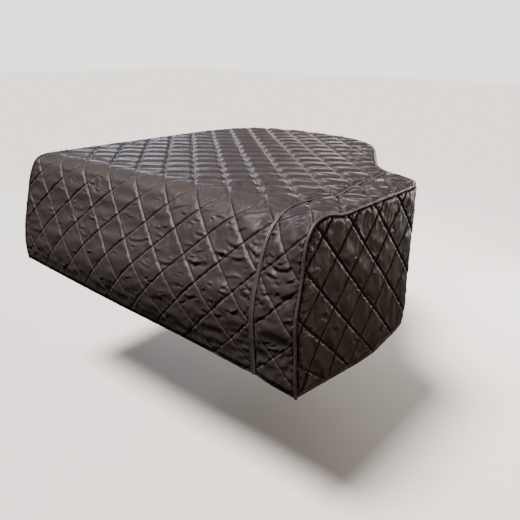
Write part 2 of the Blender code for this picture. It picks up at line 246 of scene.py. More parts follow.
# ------------------------------------------------------- creases (metres)
# Each crease is a soft ridge over a trough: its two ends and its middle in the flat cloth,
# the width of the ridge, and its height.
CREASE_STEP = 0.006         # points along a crease
CREASE_ROWS = (-2.0, -1.1, -0.4, 0.3, 1.0, 1.9)     # rows of points beside it, in widths
CREASE_CLEAR = 0.0025       # creases leave the points this near a stitch line to the stitches
CREASE_FADES = 4            # widths beside a crease within which it fades away
LEAST_CREASE_POINTS = 5
MAIN_CREASES = (
    # one end          middle            other end         width   height
    ((0.425, -0.206), (0.475, -0.222), (0.508, -0.216), 0.0059, 0.0042),
    ((0.514, -0.214), (0.552, -0.226), (0.586, -0.252), 0.0063, 0.0046),
    ((0.392, -0.250), (0.427, -0.256), (0.466, -0.256), 0.0054, 0.0038),
    ((0.466, -0.260), (0.500, -0.258), (0.534, -0.250), 0.0056, 0.0042),
    ((0.276, -0.294), (0.330, -0.302), (0.380, -0.284), 0.0059, 0.0039),
    ((0.312, -0.268), (0.335, -0.262), (0.358, -0.254), 0.0036, 0.0016),
    ((0.150, -0.322), (0.199, -0.330), (0.252, -0.300), 0.0063, 0.0034),
    ((-0.016, -0.286), (0.030, -0.280), (0.078, -0.270), 0.0054, 0.0027),
    ((0.462, -0.178), (0.480, -0.166), (0.498, -0.156), 0.0049, 0.0030),
    ((0.262, -0.146), (0.299, -0.128), (0.346, -0.112), 0.0054, 0.0023),
    ((0.420, -0.150), (0.475, -0.122), (0.540, -0.100), 0.0054, 0.0023),
    ((0.125, -0.156), (0.165, -0.134), (0.220, -0.112), 0.0054, 0.0021),
    ((0.527, -0.346), (0.555, -0.354), (0.584, -0.364), 0.0054, 0.0038),
    ((0.550, -0.326), (0.566, -0.334), (0.582, -0.344), 0.0040, 0.0023),
    ((0.300, -0.408), (0.327, -0.416), (0.354, -0.398), 0.0054, 0.0030),
    ((0.466, -0.322), (0.499, -0.312), (0.528, -0.310), 0.0045, 0.0021),
    ((0.478, -0.354), (0.495, -0.354), (0.512, -0.350), 0.0045, 0.0019),
    ((0.076, -0.344), (0.100, -0.354), (0.128, -0.360), 0.0049, 0.0023),
    ((0.552, -0.412), (0.568, -0.408), (0.586, -0.398), 0.0045, 0.0027),
)
STRIP_CREASES = (
    ((0.622, -0.256), (0.675, -0.284), (0.728, -0.288), 0.0054, 0.0045),
    ((0.612, -0.284), (0.642, -0.298), (0.674, -0.308), 0.0049, 0.0040),
    ((0.700, -0.330), (0.718, -0.326), (0.740, -0.318), 0.0040, 0.0025),
    ((0.610, -0.345), (0.630, -0.352), (0.655, -0.350), 0.0045, 0.0025),
)
SIDE_CREASES = (
    ((-0.200, -0.508), (-0.168, -0.496), (-0.140, -0.458), 0.0110, 0.0092),
    ((-0.220, -0.404), (-0.185, -0.440), (-0.150, -0.474), 0.0060, 0.0031),
    ((-0.204, -0.136), (-0.172, -0.130), (-0.140, -0.130), 0.0050, 0.0036),
    ((-0.188, -0.054), (-0.158, -0.036), (-0.126, -0.018), 0.0060, 0.0046),
    ((-0.200, -0.164), (-0.170, -0.158), (-0.140, -0.152), 0.0050, 0.0036),
    ((-0.216, -0.210), (-0.186, -0.202), (-0.154, -0.194), 0.0055, 0.0031),
    ((-0.214, -0.252), (-0.192, -0.242), (-0.172, -0.234), 0.0050, 0.0031),
    ((-0.124, -0.284), (-0.096, -0.284), (-0.062, -0.308), 0.0060, 0.0036),
    ((0.070, -0.254), (0.052, -0.258), (0.036, -0.268), 0.0055, 0.0031),
    ((-0.050, -0.354), (-0.026, -0.358), (-0.002, -0.372), 0.0055, 0.0031),
    ((0.246, -0.458), (0.270, -0.474), (0.290, -0.498), 0.0055, 0.0031),
    ((0.074, -0.438), (0.118, -0.456), (0.162, -0.484), 0.0055, 0.0031),
)
# Short creases: how many in each diamond where the cloth is most crumpled, and the least and
# most of what differs between them: half their length, their bow as a share of that, the
# width and height of their ridge, and their place across the diamond.
CREASES_IN_DIAMOND = 7
FEWEST_CREASES = 0.2        # share of them far from the join
SIDE_CREASES_IN_DIAMOND = 0.5
HALF_CREASE = (0.008, 0.020)
CREASE_BOW = (-0.35, 0.1)
CREASE_WIDTH = (0.0032, 0.0050)
CREASE_HEIGHT = (0.0012, 0.0036)
CREASE_PLACE = (0.12, 0.88)
# And how they lean in each panel, degrees anticlockwise from level: middle and spread.
MAIN_LEAN, STRIP_LEAN, SIDE_LEAN = (2, 16), (-12, 22), (55, 25)
GATHER_SPACING = 0.012      # short puckers along a seam
GATHER_REACH = 0.035
GATHER_LENGTH = 0.05
GATHER_HEIGHT = 0.0055
GATHER_STARTS = 0.008       # they are at their height this far from the seam
GATHER_ENDS = 0.06          # and fade out this far above the hem
GATHER_LEAST = 0.03         # share of their height that isn't worth adding


# ------------------------------------------------------- shape of the hanging cloth
def walk_section(angles):
    """Points (y, z) every FALL_STEP down one section of the front, from the lip."""
    count = round(FALL_STATIONS[-1] / FALL_STEP)
    middles = (np.arange(count) + 0.5) * FALL_STEP
    slopes = np.radians(np.interp(middles, FALL_STATIONS, angles))
    y = LIP_Y - np.concatenate(([0.0], np.cumsum(np.cos(slopes)))) * FALL_STEP
    z = TOP_Z - np.concatenate(([0.0], np.cumsum(np.sin(slopes)))) * FALL_STEP
    return np.stack((y, z), axis=1)


SECTION_X = [row[0] for row in FRONT_SECTIONS]
SECTION_LENGTHS = [row[1] for row in FRONT_SECTIONS]
SECTION_WALKS = [walk_section(row[2]) for row in FRONT_SECTIONS]


def section_point(index, down):
    """Points (y, z) of one section, down metres along the cloth from the lip."""
    down = np.asarray(down, dtype=float)
    walk = SECTION_WALKS[index]
    steps = np.arange(len(walk)) * FALL_STEP
    y = np.where(down > 0, np.interp(down, steps, walk[:, 0]), LIP_Y - down)
    z = np.where(down > 0, np.interp(down, steps, walk[:, 1]), TOP_Z)
    return np.stack((y, z), axis=-1)


def front_length(x):
    """Length of cloth from the lip down to the hem at x."""
    return np.interp(x, SECTION_X, SECTION_LENGTHS)


def cover_point(u, v):
    """Points of the top and front for places in the flat cloth.

    u is the distance from the middle towards the treble, and v the distance behind the lip,
    less than zero down the front.
    """
    u, v = np.asarray(u, dtype=float), np.asarray(v, dtype=float)
    sections = np.stack([section_point(i, -v) for i in range(len(SECTION_X))])
    room = np.clip(HALF_WIDTH - np.abs(u), 0, SECTION_BLEND)
    yz = 0
    for share in BLEND_SHARES:
        x = u + room * share
        place = np.interp(x, SECTION_X, range(len(SECTION_X)))
        left = np.clip(place.astype(int), 0, len(SECTION_X) - 2)
        part = (place - left)[..., None]
        row = np.arange(u.size).reshape(u.shape)
        rows = sections.reshape(len(SECTION_X), -1, 2)
        mixed = rows[left, row] * (1 - part) + rows[left + 1, row] * part
        yz = yz + mixed / len(BLEND_SHARES)
    return np.stack((u, yz[..., 0], yz[..., 1]), axis=-1)


def smooth_curve(points, steps):
    """Catmull-Rom curve through 2D points, with steps points for each span."""
    pts = [np.array(p) for p in points]
    pts = [pts[0] * 2 - pts[1]] + pts + [pts[-1] * 2 - pts[-2]]
    curve = []
    for i in range(1, len(pts) - 2):
        a, b, c, d = pts[i - 1:i + 3]
        for k in range(steps):
            t = k / steps
            curve.append(0.5 * ((2 * b) + (c - a) * t + (2 * a - 5 * b + 4 * c - d) * t * t
                                + (3 * b - a - 3 * c + d) * t ** 3))
    curve.append(pts[-2])
    return curve


def straight(start, end, step):
    """Evenly spaced points from start up to, but not at, end."""
    start, end = np.array(start, dtype=float), np.array(end, dtype=float)
    count = max(1, round(float(np.linalg.norm(end - start)) / step))
    return [start + (end - start) * k / count for k in range(count)]


def edge_plan():
    """Plan of the piped edge from the treble lip round the tail to the bass lip."""
    bend = smooth_curve(OUTLINE, OUTLINE_STEPS)
    return np.array(straight((HALF_WIDTH, LIP_Y), bend[0], SIDE_STEP) + bend[:-1]
                    + straight(bend[-1], (-HALF_WIDTH, LIP_Y), SIDE_STEP)
                    + [np.array((-HALF_WIDTH, LIP_Y))])


def square_to(run):
    """Unit normals on the left of the directions of a line."""
    normals = np.stack((-run[:, 1], run[:, 0]), axis=1)
    return normals / np.linalg.norm(normals, axis=1)[:, None]


def run_along(line):
    """Distance along a line to each of its points."""
    return np.concatenate(([0.0], np.cumsum(np.linalg.norm(np.diff(line, axis=0), axis=1))))


EDGE = edge_plan()
EDGE_NORMALS = square_to(np.gradient(EDGE, axis=0))     # to the middle of the lid
EDGE_ROUND = run_along(EDGE)
CLOTH_EDGE = EDGE + EDGE_NORMALS * CLOTH_INSET


def join_x(y):
    """X of the join at y."""
    return np.interp(y, [row[0] for row in JOIN], [row[1] for row in JOIN])


def inside_corner(section, down, run):
    """Rows (a, depth) in the skirt's flat cloth, just inside a corner section of the front."""
    walk = section_point(section, down) + square_to(run) * CORNER_INSET
    return np.stack((walk[:, 0] - LIP_Y, -walk[:, 1]), axis=1)


def seam_line(section, down_from):
    """Front edge of the skirt in its own flat cloth, down a corner."""
    down = np.arange(down_from, SECTION_LENGTHS[section], FALL_STEP)
    down = np.append(down, SECTION_LENGTHS[section])
    return inside_corner(section, down, np.gradient(section_point(section, down), axis=0))


def top_line(section, down_from):
    """Skirt's top edge in front of the lip, from the seam to the lip."""
    down = np.append(np.arange(down_from, CORNER_TOP_ENDS, -FALL_STEP), CORNER_TOP_ENDS)
    run = section_point(section, down + FALL_STEP) - section_point(section, down - FALL_STEP)
    return inside_corner(section, down, run)


TREBLE_SEAM = seam_line(-1, TREBLE_TOP_DOWN)
BASS_SEAM = seam_line(0, BASS_TOP_DOWN)


def skirt_point(a, rise):
    """Points of the skirt for places in its flat cloth.

    a is the distance round the edge from the treble lip, and rise the height, which is less
    than zero below the top.
    """
    a, depth = np.asarray(a, dtype=float), -np.asarray(rise, dtype=float)
    total = EDGE_ROUND[-1]
    x = np.interp(a, EDGE_ROUND, EDGE[:, 0])
    y = np.interp(a, EDGE_ROUND, EDGE[:, 1]) + np.minimum(a, 0) + np.minimum(total - a, 0)
    inward_x = np.interp(a, EDGE_ROUND, EDGE_NORMALS[:, 0])
    inward_y = np.interp(a, EDGE_ROUND, EDGE_NORMALS[:, 1])
    blend_a = TREBLE_BLEND_Y - LIP_Y
    side = OUTLINE[0][1] - TREBLE_BLEND_Y
    behind = np.maximum(a - blend_a, 0) / side
    flare = SKIRT_FLARE * np.maximum(0, 1 - np.abs(behind - FLARE_MIDDLE) / FLARE_REACH)
    seam_a = np.interp(depth, TREBLE_SEAM[:, 1], TREBLE_SEAM[:, 0])
    flare = flare * np.clip((a - seam_a) / np.maximum(blend_a - seam_a, SHORTEST_BLEND), 0, 1)
    hem = hem_depth(a)
    flare = flare * (np.clip(depth, 0, None) / hem) ** FLARE_CURVE
    return np.stack((x - inward_x * flare, y - inward_y * flare, -depth), axis=-1)


def hem_depth(a):
    """Depth of the skirt's hem at a."""
    blend = (TREBLE_BLEND_Y - LIP_Y, EDGE_ROUND[-1] - (BASS_BLEND_Y - LIP_Y))
    shares, heights = zip(*HEM_HEIGHTS)
    between = (np.clip(a, *blend) - blend[0]) / (blend[1] - blend[0])
    share = CORNER_SHARE + (1 - 2 * CORNER_SHARE) * between
    depth = -np.interp(share, shares, heights)
    for seam_a, seam_depth, edge_a, edge_share in (
            (*TREBLE_SEAM[-1], blend[0], CORNER_SHARE),
            (EDGE_ROUND[-1] - BASS_SEAM[-1, 0], BASS_SEAM[-1, 1], blend[1], 1 - CORNER_SHARE)):
        part = np.clip((a - edge_a) / (seam_a - edge_a), 0, 1)
        at_blend = -np.interp(edge_share, shares, heights)
        depth = np.where(part > 0, at_blend + (seam_depth - at_blend) * part, depth)
    return depth


# ------------------------------------------------------- panels cut from quilted cloth
OUTLINE_PLACES = 60         # places along a straight or gently curved side, before resampling
FRONT_SIDE_PLACES = 30
SKIRT_HEM_PLACES = 200
SKIRT_TOP_STEP = 0.020
SKIRT_TOP_CLEAR = 0.080     # the skirt's even top edge starts this far behind the lip
BACK_CLEAR = 0.010          # the back edge starts this far behind the lip
CORNER_CLEAR = 0.002        # and leaves out points this near a corner
CORNER_ROUNDS = 12          # enough to settle where a side meets the back edge
LATTICE_ROUNDS = 8          # enough to undo the drag of the stitch lines
SLOPE_STEP = 0.003          # the cloth's slope is measured over this far to either side
TINY = 1e-4
SEED_SHIFT = (17.3, 9.1, 3.7)       # moves the noise of one seed off that of the next
TOUCHING = 1e-7             # points this near each other are one


def resample(line, step):
    """The same open line with extra points, no further apart than about step."""
    points = []
    for a, b in zip(line[:-1], line[1:]):
        points += straight(a, b, step)
    return points


def panel_outline(left_x, right_x):
    """Cut edge of a panel of the top and front, anticlockwise, in the flat cloth."""
    hem_x = np.linspace(left_x(ON_FRONT), right_x(ON_FRONT), OUTLINE_PLACES)
    hem = np.stack((hem_x, -front_length(hem_x)), axis=1)
    depths = np.linspace(-1, 0, FRONT_SIDE_PLACES)[:-1]
    right_hem, left_hem = -hem[-1, 1], -hem[0, 1]
    right = [(right_x(ON_FRONT), d * right_hem) for d in depths]
    left = [(left_x(ON_FRONT), d * left_hem) for d in depths]
    back = [p for p in CLOTH_EDGE if left_x(p[1]) + TINY < p[0] < right_x(p[1]) - TINY]
    corner_x = {}
    for name, side, side_x in (("right", right, right_x), ("left", left, left_x)):
        corner_x[name], corner_y = corner_behind(side_x)
        top_y = np.linspace(LIP_Y, corner_y, OUTLINE_PLACES)
        side += [(side_x(y), y - LIP_Y) for y in top_y]
    back = [(x, y - LIP_Y) for x, y in back if y > LIP_Y + BACK_CLEAR]
    back = [p for p in back if abs(p[0] - corner_x["left"]) > CORNER_CLEAR]
    lines = [hem, right, [right[-1]] + back + [left[-1]], left[::-1]]
    points = []
    for line in lines:
        points += resample([np.array(p) for p in line], EDGE_SPACING)
    return np.array(points)


def corner_behind(side_x):
    """Place (x, y) where a side of a panel meets the back edge of the top."""
    y = 0.0
    order = np.argsort(CLOTH_EDGE[:, 0], kind="stable")
    for _ in range(CORNER_ROUNDS):
        x = side_x(y)
        if abs(x) > HALF_WIDTH - CLOTH_INSET - TINY:
            y = OUTLINE[0][1] if x > 0 else OUTLINE[-1][1]
        else:
            y = np.interp(x, CLOTH_EDGE[order, 0], CLOTH_EDGE[order, 1])
    return side_x(y), y


def skirt_outline():
    """Cut edge of the skirt in its flat cloth."""
    total = EDGE_ROUND[-1]
    treble_top, bass_top = top_line(-1, TREBLE_TOP_DOWN), top_line(0, BASS_TOP_DOWN)
    top = [tuple(p) for p in treble_top]
    top += [(a, CLOTH_INSET - TOP_Z)
            for a in np.arange(SKIRT_TOP_CLEAR, total - SKIRT_TOP_CLEAR, SKIRT_TOP_STEP)]
    top += [(total - a, depth) for a, depth in bass_top[::-1]]
    down = [(total - a, depth) for a, depth in BASS_SEAM]
    hem_a = np.linspace(TREBLE_SEAM[-1, 0], total - BASS_SEAM[-1, 0], SKIRT_HEM_PLACES)
    hem = list(zip(hem_a, hem_depth(hem_a)))[::-1]
    up = [tuple(p) for p in TREBLE_SEAM[::-1]]
    points = []
    for line in (top, down, hem, up):
        points += resample([np.array(p) for p in line], EDGE_SPACING)
    return np.array(points) * (1, -1)


def dragged(flat):
    """How far the stitch lines of the skirt are dragged along it at places in the flat cloth."""
    along = (flat[:, 0] - DRAG_PLACE) / DRAG_REACH[0]
    down = np.clip(1 - side_hem(flat) / DRAG_REACH[1], 0, MOST_DRAG)
    return np.stack((DRAG * np.exp(-along ** 2) * down ** 2, np.zeros(len(flat))), axis=1)


def undragged(flat):
    """The stitch lines of the top and front run straight."""
    return np.zeros_like(flat)


def lattice(panel, flat):
    """Lattice coordinates of places in the flat cloth: whole numbers lie on stitch lines."""
    (a1, b1, c1), (a2, b2, c2) = panel.quilting
    before_drag = flat
    for _ in range(LATTICE_ROUNDS):
        before_drag = flat - panel.drag(before_drag)
    u, v = before_drag[:, 0], before_drag[:, 1]
    return np.stack((a1 * u + b1 * v + c1, a2 * u + b2 * v + c2), axis=1)


def unlattice(panel, places):
    """Places in the flat cloth for lattice coordinates."""
    (a1, b1, c1), (a2, b2, c2) = panel.quilting
    matrix = np.linalg.inv(np.array(((a1, b1), (a2, b2))))
    flat = (places - np.array((c1, c2))) @ matrix.T
    return flat + panel.drag(flat)


def grid_shares(divisions):
    """Shares across one diamond, closer together next to the stitch lines."""
    even = np.arange(divisions) / divisions
    return EVEN_SHARE * even + (1 - EVEN_SHARE) * (0.5 - 0.5 * np.cos(np.pi * even))


def nearest(places, flat):
    """Distance from each point to the nearest of some places, and which place that is."""
    tree = kdtree.KDTree(len(places))
    for i, p in enumerate(places):
        tree.insert((p[0], p[1], 0), i)
    tree.balance()
    found = [tree.find((p[0], p[1], 0))[1:] for p in flat]
    return np.array([row[1] for row in found]), np.array([row[0] for row in found])


def cut_cloth(panel, divisions, fine):
    """Triangles of a panel whose grid follows its stitch lines and the stitches of its hem.

    Gives the flat places of its points, the outline's first, and the triangles. A fine grid
    has more points along the panel's creases.
    """
    outline = panel.outline
    reach = lattice(panel, outline)
    shares = grid_shares(divisions)
    lines = []
    for axis in (0, 1):
        first, last = math.floor(reach[:, axis].min()), math.ceil(reach[:, axis].max())
        lines.append((np.arange(first, last)[:, None] + shares).ravel())
    grid = np.stack(np.meshgrid(*lines, indexing="ij"), axis=-1).reshape(-1, 2)
    flat = unlattice(panel, grid)
    low, high = outline.min(axis=0), outline.max(axis=0)
    flat = flat[((flat > low) & (flat < high)).all(axis=1)]
    flat = flat[np.abs(panel.above_hem(flat) - HEM_FOLD) > HEM_CLEAR]
    hem_stitches = outline[np.abs(panel.above_hem(outline)) < ON_HEM] + (0, HEM_FOLD)
    if fine:
        folds = crease_points(panel)
        stitched = stitch_distances(panel, flat).min(axis=1) <= TINY
        flat = flat[stitched | (nearest(folds, flat)[0] > EDGE_SPACING / 2)]
        flat = np.concatenate((folds, flat))
    flat = np.concatenate((hem_stitches, flat))
    flat = flat[nearest(outline, flat)[0] > EDGE_CLEAR * EDGE_SPACING]
    ring = list(range(len(outline)))
    points = [Vector(p) for p in outline.tolist()] + [Vector(p) for p in flat.tolist()]
    inside_only = 1
    verts, _, faces, origins, _, _ = geometry.delaunay_2d_cdt(points, [], [ring], inside_only,
                                                              TOUCHING)
    verts, faces = np.array([tuple(p) for p in verts]), np.array(faces)
    place = np.full(len(points), -1)
    for i, came in enumerate(origins):
        place[list(came)] = i
    order = list(place[ring])
    used = np.zeros(len(verts), dtype=bool)
    used[faces] = True
    used[order] = False
    order = np.array(order + list(np.flatnonzero(used)))
    renumbered = np.full(len(verts), -1)
    renumbered[order] = np.arange(len(order))
    verts, faces = verts[order], renumbered[faces]
    a, b, c = (verts[faces[:, i]] for i in range(3))
    turn = (b - a)[:, 0] * (c - a)[:, 1] - (b - a)[:, 1] * (c - a)[:, 0]
    faces[turn < 0] = faces[turn < 0][:, ::-1]
    return verts, faces


def stitch_distances(panel, flat):
    """Distance in the flat cloth to the nearest stitch line of each family, metres."""
    places = lattice(panel, flat)
    scale = np.array([math.hypot(a, b) for a, b, _ in panel.quilting])
    return np.abs(places - np.round(places)) / scale


def above_stitches(panel, flat):
    """Whether each place is on the upper side of the nearest stitch line of each family."""
    places = lattice(panel, flat)
    up = np.array([b for _, b, _ in panel.quilting])
    return (places - np.round(places)) * up > 0


def beside_edge(flat, outline):
    """Distance from each place to the cut edge, and how far round the edge that point is."""
    distance, place = nearest(outline, flat)
    return distance, run_along(outline)[place]


def hanging(shape, flat):
    """Points of the middle of the hanging cloth and its outward unit normals."""
    u, v = flat[:, 0], flat[:, 1]
    across = shape(u + SLOPE_STEP, v) - shape(u - SLOPE_STEP, v)
    along = shape(u, v + SLOPE_STEP) - shape(u, v - SLOPE_STEP)
    normals = np.cross(across, along)
    normals /= np.linalg.norm(normals, axis=1)[:, None]
    return shape(u, v), normals


def rounded(distance, reach):
    """0 at a seam, rising in a quarter wave to 1 at reach from it."""
    return np.sin(np.pi / 2 * np.clip(distance / reach, 0, 1))


def domed(distance, reach):
    """0 at a seam, rising ever more slowly to 1."""
    return 1 - np.exp(-distance / reach)


def ripple(flat, wavelength, seed):
    """Smooth uneven field from about -1 to 1 over the flat cloth."""
    shift = Vector([seed * far for far in SEED_SHIFT])
    return np.array([noise.noise(Vector((p[0], p[1], 0)) / wavelength + shift) for p in flat])


def bowed_line(start, middle, end):
    """Points along a crease, through its middle."""
    start, middle, end = np.array(start), np.array(middle), np.array(end)
    length = np.linalg.norm(end - start)
    share = np.linspace(0, 1, max(LEAST_CREASE_POINTS, math.ceil(length / CREASE_STEP)))
    pull = 2 * middle - (start + end) / 2
    return (np.outer((1 - share) ** 2, start) + np.outer(2 * share * (1 - share), pull)
            + np.outer(share ** 2, end))


def beside_line(line):
    """Unit directions along a line and up from it, and the steps between its points."""
    run = np.gradient(line, axis=0)
    step = np.linalg.norm(run, axis=1)[:, None]
    run = run / step
    up = np.stack((-run[:, 1], run[:, 0]), axis=1)
    return run, up * np.where(up[:, 1] < 0, -1, 1)[:, None], step


def crease_points(panel):
    """Places along and beside each of a panel's creases, close enough to shape its fold."""
    rows = [bowed_line(*crease[:3]) + beside_line(bowed_line(*crease[:3]))[1] * crease[3] * aside
            for crease in panel.creases for aside in CREASE_ROWS]
    flat = np.concatenate(rows)
    flat = flat[stitch_distances(panel, flat).min(axis=1) > CREASE_CLEAR]
    low, high = panel.outline.min(axis=0), panel.outline.max(axis=0)
    flat = flat[((flat > low) & (flat < high)).all(axis=1)]
    return flat[np.unique(np.round(flat / CREASE_CLEAR), axis=0, return_index=True)[1]]


def crease_heights(flat, creases):
    """Height that creases add: each has a soft ridge on its upper side and a trough below."""
    height = np.zeros(len(flat))
    for start, middle, end, width, ridge in creases:
        line = bowed_line(start, middle, end)
        far = CREASE_FADES * width
        low, high = line.min(axis=0) - far, line.max(axis=0) + far
        near = np.flatnonzero(((flat > low) & (flat < high)).all(axis=1))
        if not len(near):
            continue
        run, up, step = beside_line(line)
        away = flat[near][:, None] - line
        closest = np.argmin((away ** 2).sum(axis=2), axis=1)
        away = away[np.arange(len(near)), closest]
        across = (away * up[closest]).sum(axis=1) / width
        past = (away * run[closest]).sum(axis=1) / step[closest, 0]
        along = (closest + past) / (len(line) - 1)
        taper = np.clip(1 - (2 * along - 1) ** 2, 0, 1)
        height[near] += ridge * taper * across * np.exp(0.5 - across ** 2 / 2)
    return height


def small_creases(panel, lean, often):
    """Short creases, often to a diamond, uneven in place, length and height."""
    rng = np.random.default_rng(panel.seed)
    reach = lattice(panel, panel.outline)
    low, high = np.floor(reach.min(axis=0)), np.ceil(reach.max(axis=0))
    rows = []
    for cell in np.ndindex(*(high - low).astype(int)):
        centre = unlattice(panel, (low + cell + 0.5)[None])
        for _ in range(rng.poisson(often(centre)[0])):
            middle = unlattice(panel, (low + cell + rng.uniform(*CREASE_PLACE, 2))[None])[0]
            turn = math.radians(rng.normal(*lean))
            half = rng.uniform(*HALF_CREASE) * np.array((math.cos(turn), math.sin(turn)))
            bow = rng.uniform(*CREASE_BOW) * np.array((-half[1], half[0]))
            rows.append((middle - half, middle + bow, middle + half,
                         rng.uniform(*CREASE_WIDTH), rng.uniform(*CREASE_HEIGHT)))
    return rows


def gathers(from_edge, round_edge, above_hem, seed):
    """Height of the short puckers that a seam draws up beside it."""
    fade = np.exp(-from_edge / GATHER_REACH) * np.clip(from_edge / GATHER_STARTS, 0, 1)
    fade = fade * np.clip(above_hem / GATHER_ENDS, 0, 1)
    height = np.zeros(len(fade))
    for i in np.flatnonzero(fade > GATHER_LEAST):
        place = Vector((round_edge[i] / GATHER_SPACING, from_edge[i] / GATHER_LENGTH, seed))
        height[i] = GATHER_HEIGHT * fade[i] * noise.noise(place)
    return height


def simulate(name, start, faces, pinned, slack):
    """Face cloth let loose between its stitches, pushed out by the wadding under it.

    slack is the extra cloth that each point has, as a share of the most: it gathers into
    puckers along the stitches and small sagging folds.
    """
    mesh = bpy.data.meshes.new(name)
    mesh.from_pydata(start.tolist(), [], faces.tolist())
    obj = bpy.data.objects.new(name, mesh)
    bpy.context.scene.collection.objects.link(obj)
    pins = obj.vertex_groups.new(name="stitches")
    pins.add(np.flatnonzero(pinned).tolist(), 1.0, "REPLACE")
    tight = obj.vertex_groups.new(name="tight")
    levels = np.round((1 - np.clip(slack, 0, 1)) * EASE_LEVELS).astype(int)
    for level in np.unique(levels):
        tight.add(np.flatnonzero(levels == level).tolist(), float(level) / EASE_LEVELS, "REPLACE")
    cloth = obj.modifiers.new("Cloth", "CLOTH")
    settings = cloth.settings
    for key, value in LIMP_CLOTH.items():
        setattr(settings, key, value)
    settings.vertex_group_mass = "stitches"
    settings.vertex_group_shrink = "tight"
    settings.shrink_min = -MOST_EASE
    settings.shrink_max = 0
    settings.effector_weights.gravity = SAG
    cloth.collision_settings.use_collision = False
    scene = bpy.context.scene
    scene.frame_end = CLOTH_FRAMES
    cloth.point_cache.frame_end = CLOTH_FRAMES
    for number in range(1, CLOTH_FRAMES + 1):
        scene.frame_set(number)
    settled = obj.evaluated_get(bpy.context.evaluated_depsgraph_get())
    places = np.empty(len(start) * 3)
    settled.data.vertices.foreach_get("co", places)
    bpy.data.objects.remove(obj, do_unlink=True)
    bpy.data.meshes.remove(mesh)
    scene.frame_set(1)
    return places.reshape(-1, 3)


def build_mesh(name, points, faces, maps, material_ids, materials):
    """Mesh object from points, triangles and its UV maps, added to the scene."""
    mesh = bpy.data.meshes.new(name)
    mesh.from_pydata(points.tolist(), [], faces.tolist())
    corners = faces.ravel()
    for map_name, places in maps.items():
        layer = mesh.uv_layers.new(name=map_name)
        layer.data.foreach_set("uv", places[corners].ravel())
    for material in materials:
        mesh.materials.append(material)
    mesh.polygons.foreach_set("material_index", material_ids)
    mesh.shade_smooth()
    mesh.update()
    obj = bpy.data.objects.new(name, mesh)
    bpy.context.scene.collection.objects.link(obj)
    return obj


class Panel:
    """How one panel is cut, quilted and sewn.

    Its above_hem and beyond_tape give, for places in the flat cloth, the distance above the
    hem's edge and out from the edge of the tape; drag gives how far the stitch lines are
    dragged; puffed gives how puffed up the wadding is, and drawn how the stitches draw it down.
    """

    def __init__(self, name, outline, quilting, drag, shape, above_hem, beyond_tape, puffed,
                 drawn, creases, seed):
        self.name, self.outline, self.quilting, self.drag = name, outline, quilting, drag
        self.shape, self.above_hem, self.beyond_tape = shape, above_hem, beyond_tape
        self.puffed, self.drawn, self.creases, self.seed = puffed, drawn, creases, seed


def face_heights(panel, flat, sizes):
    """Height of the face over the middle of the cloth, and how loose it is at each place."""
    distances, above = stitch_distances(panel, flat), above_stitches(panel, flat)
    from_edge, round_edge = beside_edge(flat, panel.outline)
    above_hem, beyond_tape = panel.above_hem(flat), panel.beyond_tape(flat)
    puffed = panel.puffed(flat)
    clear = np.minimum(np.minimum(from_edge, np.maximum(above_hem - HEM_FOLD, 0)),
                       np.maximum(beyond_tape, 0))
    rise, dome = rounded(clear, ROLL), domed(clear, DOME_REACH)
    for distance, over, drawn in zip(distances.T, above.T, panel.drawn(flat)):
        pull, roll = drawn[0], np.where(over, drawn[1], drawn[2])
        rise = rise * (1 - pull * (1 - rounded(distance, roll)))
        dome = dome * (1 - pull * (1 - domed(distance, DOME_REACH)))
    loft = sizes.loft * (LEAST_LOFT + (1 - LEAST_LOFT) * puffed)
    height = rise * loft + dome * sizes.crown * puffed - STITCH_DEPTH
    height += crease_heights(flat, panel.creases) * np.clip(clear / CREASES_START, 0, 1)
    height += gathers(from_edge, round_edge, above_hem, panel.seed)
    hem = above_hem < HEM_FOLD
    height[hem] = HEM_RISE * np.sin(np.pi * np.clip(above_hem[hem] / HEM_FOLD, 0, 1))
    taped = beyond_tape < 0
    height[taped] = UNDER_TAPE
    height *= np.clip(from_edge / EDGE_SEWN, 0, 1)
    nearest_stitch = distances.min(axis=1)
    slack = (EASE + STITCH_EASE * np.exp(-nearest_stitch / STITCH_EASE_REACH)
             + EDGE_EASE * np.exp(-from_edge / EDGE_EASE_REACH)
             + UNEVEN_EASE * ripple(flat, UNEVEN_EASE_REACH, panel.seed))
    stitched = (nearest_stitch < ON_STITCHES) & ~hem
    stitched |= taped | (np.abs(above_hem - HEM_FOLD) < ON_STITCHES)
    return height, slack, stitched


